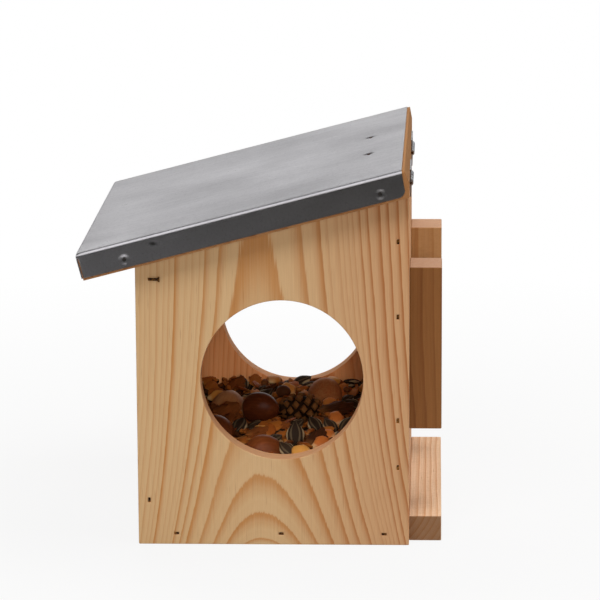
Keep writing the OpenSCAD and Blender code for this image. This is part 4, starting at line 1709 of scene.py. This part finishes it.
@dataclass
class Feed:
    """The feed: a heap of loose seeds, with hazelnuts, a cone and whole seeds lying on it.

    A laid seed's spot is its place in millimetres, its heading in degrees, and any tilt, size and tone of
    its own. The fields low and high are the bin's corners, and level is the feed's height at its middle.
    """

    depth: float = 31 * MM
    lean: float = 2.0 * MM
    ripple: float = 0.7 * MM
    ripple_x: float = 4.1
    ripple_y: float = 5.3
    ripple_start: float = 20.0
    loose_depth: float = 7.0 * MM
    loose_rise: float = 3.2 * MM
    crumb: float = 1.6 * MM
    crumb_scale: float = 420.0
    nut_radius: float = 10 * MM
    nut_flat: float = 0.95
    nut_swell: float = 0.035
    nut_profile: Pairs = (
        (0.0, -0.80), (0.34, -0.85), (0.60, -0.80), (0.80, -0.64), (0.94, -0.36), (1.0, -0.02), (0.97, 0.28),
        (0.85, 0.58), (0.64, 0.84), (0.38, 1.02), (0.16, 1.11), (0.05, 1.16), (0.0, 1.16),
    )
    nuts: tuple[Nut, ...] = (
        Nut(6, -11.0, 6.5, 154, 84, 0.02, 0.84),
        Nut(60, -6, -2, 20, 82, 0.22),
        Nut(34, -32, 1.5, 140, 80, 0.12),
        Nut(-21, -29, 0, 250, 35, 0.75),
        Nut(-44.5, 21.5, 1, 100, 70, 0.62),
        Nut(60, 45, 3, 310, 70, 0.5),
    )
    cone_radius: float = 8 * MM
    cone_length: float = 23 * MM
    cone_spot: tuple[float, float, float] = (-12, 8.5, 2.6)
    cone_turn: float = 25.0
    cone_tilt: float = 84.0
    cone_profile: Pairs = (
        (0.0, 0.0), (0.45, 0.03), (0.78, 0.18), (0.86, 0.38), (0.8, 0.58), (0.6, 0.8), (0.3, 0.95),
        (0.0, 1.0),
    )
    # The core takes the cone wood's darkest colour, painted shade that shows in the gaps between the scales.
    core_shade_tone: float = 1.2
    scales: int = 42
    scale_size: float = 2.5 * MM
    scale_tone: float = 0.4
    laid_tilt: float = 38.0
    sunflower_spots: tuple[tuple[float, ...], ...] = (
        (41, 9, 92, 60, 1.25, 0.2), (65, 5.5, 130), (26, -10, 15), (-68, 9, 40, 14), (-26, 36, 150),
        (62, 29, 20), (-8, -46, 75), (20, 18, 120), (-64, -24, 95), (-40, -10, 50), (50, -46, 10),
        (2, 46, 35),
    )
    maize_spots: tuple[tuple[float, ...], ...] = (
        (-67, -7, 75, 6), (-68, 24, 20, 10), (-48, 2, 130), (-24, 24, 60), (8, 29, 110), (52, 22, 35),
        (71, 13.6, 172, 38, 1.1, 1.0), (36, -8, 160), (-40, -36, 15), (14, -34, 100), (66, -30, 55),
        (-52, 44, 140),
    )
    strewn: tuple[Strewn, ...] = (
        Strewn("hull", 8, -28, 6, 30, 55, 1.7, 0.3), Strewn("hull", 6, -32, 4, 120, 40, 1.5, 0.6),
        Strewn("hull", 12, -25, 3, 75, 20, 1.5, 0.2), Strewn("bead", -39.5, -0.5, 4, 0, 10, 1.9, 0.0),
        Strewn("hull", 45, 20, 3, 60, 30, 1.5, 1.0), Strewn("hull", -10, 29, 3.5, 20, 20, 2.0, 1.0),
        Strewn("sunflower", 24, 26, 3, 120, 35, 1.0, 0.6), Strewn("sunflower", 22, 35, 3, 60, 45, 1.1, 0.8),
        Strewn("sunflower", 24, -20, 3, 70, 25, 1.1, 0.2), Strewn("flake", 29, -3, 3, 40, 20, 1.4, 0.2),
        Strewn("flake", 32, -7, 3, 100, 25, 1.3, 0.5), Strewn("hull", 27, 1, 2.5, 10, 25, 1.1, 0.0),
        Strewn("flake", -70, -42, 2, 20, 30, 1.1, 0.4), Strewn("flake", -60, -40, 2, 80, 20, 1.1, 0.2),
        Strewn("flake", -46, -37, 2, 130, 30, 1.2, 0.5), Strewn("hull", -60, -27, 2.5, 50, 40, 1.4, 0.2),
        Strewn("flake", -70, -17, 2, 90, 30, 1.1, 0.3), Strewn("maize", 39.5, 25.5, 3, 150, 25, 0.95, 0.1),
        Strewn("hull", 39, -10, 3.2, 30, 25, 1.3, 0.1), Strewn("flake", 37, -5, 3.4, 70, 30, 1.2, 0.7),
    )
    tries: int = 3600
    kinds: tuple[SeedKind, ...] = (
        SeedKind(
            "sunflower", (3.8 * MM, 5.7 * MM, 1.9 * MM), 0.13, slot="sunflower_husk", point=0.85,
            finish=SeedFinish(
                "striped_husk", tint(38, 28, 21), tint(58, 44, 32), tint(196, 172, 134), stripes=3.0,
                shine=0.2,
            ),
        ),
        SeedKind(
            "maize", (3.7 * MM, 5.0 * MM, 2.0 * MM), 0.13, slot="maize", wedge=0.6, crumple=0.25, square=0.3,
            finish=SeedFinish(
                "maize_skin", tint(184, 100, 46), tint(212, 150, 72), tint(228, 198, 146), tip=0.85, gloss=0.3
            ),
        ),
        SeedKind(
            "wheat", (1.6 * MM, 3.5 * MM, 1.5 * MM), 0.20, point=0.4, stand=30.0,
            finish=SeedFinish(
                "wheat_skin", tint(168, 100, 42), tint(122, 62, 22), tint(200, 150, 88), tip=0.3
            ),
        ),
        SeedKind(
            "bead", (1.9 * MM, 2.1 * MM, 1.8 * MM), 0.08, point=0.1,
            finish=SeedFinish(
                "round_seed_skin", tint(70, 40, 24), tint(124, 74, 36), tint(160, 110, 70), tip=0.2, gloss=0.4
            ),
        ),
        SeedKind(
            "flake", (3.0 * MM, 4.2 * MM, 0.9 * MM), 0.20, point=0.2, wedge=0.1, crumple=0.6, stand=32.0,
            finish=SeedFinish(
                "flake_skin", tint(176, 106, 42), tint(136, 66, 24), tint(208, 158, 88), tip=0.4, gloss=0.55
            ),
        ),
        SeedKind(
            "hull", (2.8 * MM, 4.6 * MM, 1.6 * MM), 0.23, point=0.3, wedge=0.2, crumple=1.0, stand=35.0,
            finish=SeedFinish(
                "hull_skin", tint(124, 68, 30), tint(58, 30, 15), tint(166, 108, 56), tip=0.3, gloss=0.7,
                mottle=0.5,
            ),
        ),
        SeedKind(
            "stalk", (0.5 * MM, 6.0 * MM, 0.5 * MM), 0.03, point=0.3, stand=15.0,
            finish=SeedFinish(
                "stalk_skin", tint(170, 108, 52), tint(112, 66, 32), tint(196, 150, 96), tip=0.2, gloss=0.6
            ),
        ),
    )
    crease: float = 60.0
    rng: random.Random = field(default_factory=lambda: random.Random(41))
    low: Vector = field(init=False)
    high: Vector = field(init=False)
    level: float = field(init=False)

    def __post_init__(self) -> None:
        """Reads the bin from the frame."""
        self.low, self.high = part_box("feed_bed")
        self.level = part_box("floor_board")[1].z + self.depth

    def surface(self, x: np.ndarray, y: np.ndarray) -> np.ndarray:
        """Works out the feed's height, lower towards +X and a little uneven.

        Args:
            x: Places along x, in metres.
            y: Places along y, in metres.

        Returns:
            The height at each place.
        """
        wave = np.sin(np.radians(self.ripple_x * x / MM + self.ripple_start))
        wave = wave + np.cos(np.radians(self.ripple_y * y / MM))
        return self.level - self.lean * x / self.high.x + self.ripple * wave

    def over(self, x: float, y: float, rise: float) -> Matrix:
        """Gives the place at x and y that lies rise over the feed, all in millimetres."""
        height = float(self.surface(np.float64(x * MM), np.float64(y * MM)))
        return Matrix.Translation((x * MM, y * MM, height + rise * MM))

    def core(self) -> None:
        """Builds the dark bed under the loose seeds, which fills the bin from wall to wall."""
        shape = grid(self.low, self.high, 0.0, 60, 44)
        for vert in shape.verts:
            crumb = self.crumb * noise.noise(vert.co * self.crumb_scale)
            height = float(self.surface(np.float64(vert.co.x), np.float64(vert.co.y)))
            vert.co.z = height - self.loose_depth + crumb
        rim = [e for e in shape.edges if e.is_boundary]
        grown = bmesh.ops.extrude_edge_only(shape, edges=rim)["geom"]
        for foot in (g for g in grown if isinstance(g, bmesh.types.BMVert)):
            foot.co.z = self.low.z
        bmesh.ops.contextual_create(shape, geom=[e for e in shape.edges if e.is_boundary])
        bmesh.ops.recalc_face_normals(shape, faces=shape.faces)
        # The bed's dark colours are partly dust and crumbs and partly painted shade for the deep gaps between
        # the loose seeds.
        publish("seed_bed", shape, CrumbAndShadeFinish("dust_and_deep_shade").build(), Body.HOUSE, "mixed_feed", ["feed_bed"])

    def hazelnuts(self) -> None:
        """Turns one hazelnut and lays it wherever a nut lies."""
        shape = lathe(self.nut_profile, 36)
        marked(shape, lambda spot: spot)
        for vert in shape.verts:
            swell = 1.0 + self.nut_swell * noise.noise(vert.co * 1.4)
            vert.co = Vector((vert.co.x * self.nut_flat, vert.co.y, vert.co.z)) * self.nut_radius * swell
        one = meshed("one_hazelnut", shape)
        joined = bmesh.new()
        for nut in self.nuts:
            lie = self.over(nut.x, nut.y, nut.rise) @ leaning(nut.turn, nut.tilt)
            sow(joined, one, lie @ Matrix.Diagonal((nut.girth, nut.girth, 1.0, 1.0)), nut.tone)
        shell = ShellFinish("nut_shell").build()
        nodes = ["hazelnuts"]
        piece = publish("shelled_hazelnuts", joined, shell, Body.HOUSE, "hazelnut_shell", nodes, self.crease)
        round_off = piece.modifiers.new("round", "SUBSURF")
        round_off.levels = 2
        round_off.render_levels = 2

    def cone_scale(self) -> bpy.types.Mesh:
        """Makes one scale of the cone, pale at its outer end.

        Returns:
            The scale at unit size, with its outer end up.
        """
        scale = bmesh.new()
        bmesh.ops.create_cone(scale, cap_ends=True, segments=4, radius1=1.05, radius2=0.78, depth=0.9)
        bevelled(scale, list(scale.edges), 0.18, 2)
        marked(scale, lambda spot: (spot.x, 0.3 if spot.z < 0.3 else -0.62, spot.z))
        return meshed("one_scale", scale)

    def cone(self) -> None:
        """Builds the cone as a core with scales set round it in a spiral."""
        radius, length = self.cone_radius, self.cone_length
        core = lathe([(0.9 * radius * r, length * h) for r, h in self.cone_profile], 24)
        marked(core, lambda spot: (0, 0, 0))
        joined = bmesh.new()
        # Painted shade: the dark core shows between the scales.
        sow(joined, meshed("cone_core", core), Matrix.Identity(4), self.core_shade_tone)
        one = self.cone_scale()
        golden = math.pi * (3 - math.sqrt(5))
        for number in range(self.scales):
            share = (number + 0.5) / self.scales
            height = length * (0.04 + 0.9 * share)
            girth = radius * math.sin(math.pi * (0.16 + 0.80 * share)) ** 0.7
            size = self.scale_size * (0.7 + 0.3 * math.sin(math.pi * (0.12 + 0.8 * share)))
            place = (
                Matrix.Rotation(golden * number, 4, "Z")
                @ Matrix.Translation((girth * 0.93, 0, height))
                @ Matrix.Rotation(math.radians(70 + 30 * share), 4, "Y")
                @ Matrix.Diagonal((size * 0.92, size * 1.06, size * 0.8, 1.0))
            )
            sow(joined, one, place, self.scale_tone * self.rng.random())
        lie = self.over(*self.cone_spot) @ leaning(self.cone_turn, self.cone_tilt)
        joined.transform(lie @ Matrix.Translation((0, 0, -length / 2)))
        woody = SeedFinish(
            "cone_wood", tint(112, 72, 38), tint(34, 20, 10), tint(150, 104, 60), tip=0.8, gloss=0.6,
            mottle=0.3, shine=0.3,
        )
        publish("scaled_alder_cone", joined, woody.build(), Body.HOUSE, "cone_scales", ["alder_cone"], 25.0)

    def laid_seeds(self, kind: SeedKind, spots: Sequence[tuple[float, ...]], node: str) -> None:
        """Lays whole seeds on the feed, tipped up on their neighbours.

        Args:
            kind: The kind of seed.
            spots: Each seed's spot.
            node: The node that they stand for.
        """
        one = kind.mesh(16, 12)
        joined = bmesh.new()
        for x, y, turn, *own in spots:
            usual = (self.laid_tilt, 1.0, self.rng.random())
            tilt, size, tone = (*own, *usual[len(own):])
            rise = 0.9 * kind.half[2] / MM + 0.6 * size**4
            sow(joined, one, self.over(x, y, rise) @ tipped(turn, tilt, size), tone)
        publish(f"laid_{kind.name}", joined, kind.finish.build(), Body.HOUSE, kind.slot, [node], self.crease)

    def bare_level(self) -> Level:
        """Makes the map that loose seeds fall on.

        Returns:
            The map, kept clear round the nuts, the cone and the laid seeds.
        """
        level = Level(self.low, self.high, self.surface, self.loose_depth, self.loose_rise)
        nut, cone = self.nut_radius, self.cone_radius
        for each in self.nuts:
            level.keep_clear(each.x * MM, each.y * MM, 0.8 * nut, each.rise * MM - 0.6 * nut)
        x, y, rise = self.cone_spot
        level.keep_clear(x * MM, y * MM, 1.2 * cone, rise * MM - 0.8 * cone)
        level.keep_clear(x * MM + 1.2 * cone, y * MM, 1.1 * cone, -4.5 * MM)
        for x, y, *_ in self.sunflower_spots + self.maize_spots:
            level.keep_clear(x * MM, y * MM, 4.0 * MM, 0.0)
        return level

    def loose_seeds(self) -> None:
        """Drops loose seeds on the bed and strews some at listed places, each kind joined into one piece."""
        level = self.bare_level()
        joined = {kind.name: bmesh.new() for kind in self.kinds}
        coarse = {kind.name: kind.mesh(8, 6) for kind in self.kinds}
        shares = [kind.share for kind in self.kinds]
        for _ in range(self.tries):
            kind = self.rng.choices(self.kinds, shares)[0]
            size = self.rng.uniform(0.85, 1.1)
            half = tuple(h * size for h in kind.half)
            room = half[1] * 0.9
            x = self.rng.uniform(self.low.x + room, self.high.x - room)
            y = self.rng.uniform(self.low.y + room, self.high.y - room)
            turn = self.rng.uniform(0, math.tau)
            tilt = math.radians(min(50.0, abs(self.rng.gauss(0, kind.stand))))
            roll = math.radians(self.rng.gauss(0, 22))
            tone = self.rng.random()
            height = level.settle(x, y, half, turn, tilt)
            if height < 0:
                continue
            place = (
                Matrix.Translation((x, y, height))
                @ Matrix.Rotation(turn, 4, "Z")
                @ Matrix.Rotation(tilt, 4, "X")
                @ Matrix.Rotation(roll, 4, "Y")
                @ Matrix.Scale(size, 4)
            )
            sow(joined[kind.name], coarse[kind.name], place, tone)
        fine = {kind.name: kind.mesh(14, 10) for kind in self.kinds}
        for piece in self.strewn:
            place = self.over(piece.x, piece.y, piece.rise) @ tipped(piece.turn, piece.tip, piece.size)
            sow(joined[piece.kind], fine[piece.kind], place, piece.tone)
        for kind in self.kinds:
            shape, skin = joined[kind.name], kind.finish.build()
            publish(f"loose_{kind.name}", shape, skin, Body.HOUSE, kind.slot, crease=self.crease)

    def build(self) -> None:
        """Builds the whole feed."""
        self.core()
        self.hazelnuts()
        self.cone()
        sunflower, maize, *_ = self.kinds
        self.laid_seeds(sunflower, self.sunflower_spots, "sunflower_seeds")
        self.laid_seeds(maize, self.maize_spots, "maize_kernels")
        self.loose_seeds()


@dataclass(frozen=True)
class Lamp:
    """A square soft light, which gloss doesn't show: the way to it, its distance, side, power and colour."""

    name: str
    way: tuple[float, float, float]
    reach: float
    side: float
    power: float
    colour: Colour = (1.0, 1.0, 1.0)


@dataclass
class Studio:
    """The camera, the lamps, the floor and the white surroundings."""

    camera_place: tuple[float, float, float] = (1.73062, 0.078595, 0.465937)
    yaw: float = math.radians(2.266)
    pitch: float = math.radians(11.767)
    roll: float = math.radians(0.3)
    lens: float = 206.08
    sensor: float = 36.0
    nearest: float = 0.05
    floor_radius: float = 7.0
    floor_glow: float = 0.88
    glow_reach: tuple[float, float] = (0.16, 0.60)
    paper: float = 0.45
    flag_inner: float = 0.34
    flag_outer: float = 2.6
    flag_foot: float = 1 * MM
    flag_height: float = 0.4
    flag_rise: float = 0.7
    far_card: Pairs = ((2.5, 1.05), (2.2, 1.8), (1.5, 2.4))
    far_side: float = -0.3
    black: float = 0.03
    ambient: float = 0.12
    bounce: Colour = (1.0, 0.84, 0.66)
    aim: tuple[float, float, float] = (0.0, 0.0, 0.09)
    lamps: tuple[Lamp, ...] = (
        Lamp("key", (0.85, -0.25, 0.86), 1.9, 0.9, 15.9),
        Lamp("fill", (1.0, 0.08, 0.215), 2.3, 0.3, 14.0, (1.0, 0.94, 0.86)),
        Lamp("top", (0.05, 0.35, 1.0), 1.5, 1.0, 17.0),
        Lamp("back", (-1.0, -0.1, 0.30), 2.0, 1.2, 34.0),
        Lamp("rear", (-0.15, 1.0, 0.30), 2.0, 1.0, 7.0),
    )

    def camera(self) -> None:
        """Sets the camera where the photograph was taken from."""
        sin_p, cos_p = math.sin(self.pitch), math.cos(self.pitch)
        sin_y, cos_y = math.sin(self.yaw), math.cos(self.yaw)
        ahead = Vector((-cos_p * cos_y, -cos_p * sin_y, -sin_p))
        aside = Vector((-sin_y, cos_y, 0.0))
        below = ahead.cross(aside)
        right = math.cos(self.roll) * aside + math.sin(self.roll) * below
        down = math.cos(self.roll) * below - math.sin(self.roll) * aside
        data = bpy.data.cameras.new("photo_camera")
        data.lens = self.lens
        data.sensor_width = self.sensor
        data.clip_start = self.nearest
        camera = placed("photo_camera", data)
        columns = Matrix((right, -down, -ahead)).transposed()
        camera.matrix_world = Matrix.Translation(self.camera_place) @ columns.to_4x4()
        bpy.context.scene.camera = camera

    def lamp(self, lamp: Lamp) -> None:
        """Hangs a lamp that faces the box.

        Args:
            lamp: The lamp.
        """
        data = bpy.data.lights.new(lamp.name, "AREA")
        data.shape = "SQUARE"
        data.size = lamp.side
        data.energy = lamp.power
        data.color = lamp.colour
        hung = placed(lamp.name, data)
        away = Vector(lamp.way).normalized()
        facing = away.to_track_quat("Z", "Y").to_matrix().to_4x4()
        hung.matrix_world = Matrix.Translation(Vector(self.aim) + away * lamp.reach) @ facing
        hung.visible_glossy = False

    def surroundings(self) -> None:
        """Makes the world white to the camera and a weak, warm, even light on the box."""
        world = bpy.data.worlds.new("white_room")
        bpy.context.scene.world = world
        world.use_nodes = True
        wiring = Wiring(world.node_tree)
        light = wiring.nodes["Background"]
        wiring.plug(light.inputs["Color"], self.bounce)
        wiring.plug(light.inputs["Strength"], self.ambient)
        white = wiring.node("Background", {"Color": (1, 1, 1)})
        wiring.shown("World Output", wiring.seen(), light.outputs[0], white.outputs[0])

    def floor(self) -> None:
        """Lays a white floor that keeps the box's shadow."""
        shape = bmesh.new()
        bmesh.ops.create_circle(shape, cap_ends=True, segments=96, radius=self.floor_radius)
        mesh = meshed("floor", shape)
        shade = Shade("floor_paper")
        shade.nodes.remove(shade.surface)
        paper = shade.node("BsdfDiffuse", {"Color": (self.paper,) * 3}).outputs[0]
        glow = shade.node("Emission", {}).outputs[0]
        fade = shade.span(shade.length(shade.here["Object"]), *self.glow_reach, self.floor_glow)
        shade.shown("Material Output", shade.times(shade.seen(), fade), paper, glow)
        mesh.materials.append(shade.material)
        placed("floor", mesh)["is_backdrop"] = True

    def card(self, name: str, shape: bmesh.types.BMesh) -> None:
        """Stands a dark card by the box that only its metal mirrors.

        Args:
            name: The card's name.
            shape: Its form, which is used up.
        """
        mesh = meshed(name, shape)
        shade = Shade(name)
        shade.dress(Base_Color=(self.black,) * 3, Roughness=0.9)
        mesh.materials.append(shade.material)
        card = placed(name, mesh)
        card.visible_camera = False
        card.visible_diffuse = False
        card.visible_shadow = False
        card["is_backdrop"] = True

    def flags(self) -> None:
        """Stands dark cards round the box: a low one all round, higher towards +X, and a high one beyond."""
        inner, outer, foot = self.flag_inner, self.flag_outer, self.flag_foot
        low = lathe([(inner, foot), (outer, foot), (outer, self.flag_height)], 64)
        for vert in low.verts:
            if vert.co.z > 2 * foot:
                vert.co.z += self.flag_rise * max(0.0, vert.co.x / outer)
        self.card("low_card", low)
        high = lathe(self.far_card, 64)
        near = [face for face in high.faces if face.calc_center_median().x > self.far_side]
        bmesh.ops.delete(high, geom=near, context="FACES")
        self.card("far_card", high)

    def build(self) -> None:
        """Sets up the whole studio."""
        bpy.context.scene.view_settings.view_transform = "Standard"
        self.camera()
        self.surroundings()
        self.floor()
        self.flags()
        for lamp in self.lamps:
            self.lamp(lamp)


def note_sizes() -> None:
    """Gathers the frame's box and the dressed part's box beside each other, as plain lists that are not
    written anywhere.
    """
    boxes = {"cad": CAD_BOX, "visual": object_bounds()}
    plain = {name: [list(corner) for corner in box] for name, box in boxes.items()}


def main() -> None:
    """Builds the studio and the feeder's sub-assemblies in order."""
    logging.basicConfig(level=logging.INFO, format="%(name)s %(message)s")
    Studio().build()
    House().build()
    Roof().build()
    Hinges().build()
    Feed().build()
    note_sizes()


if __name__ == "__main__":
    main()
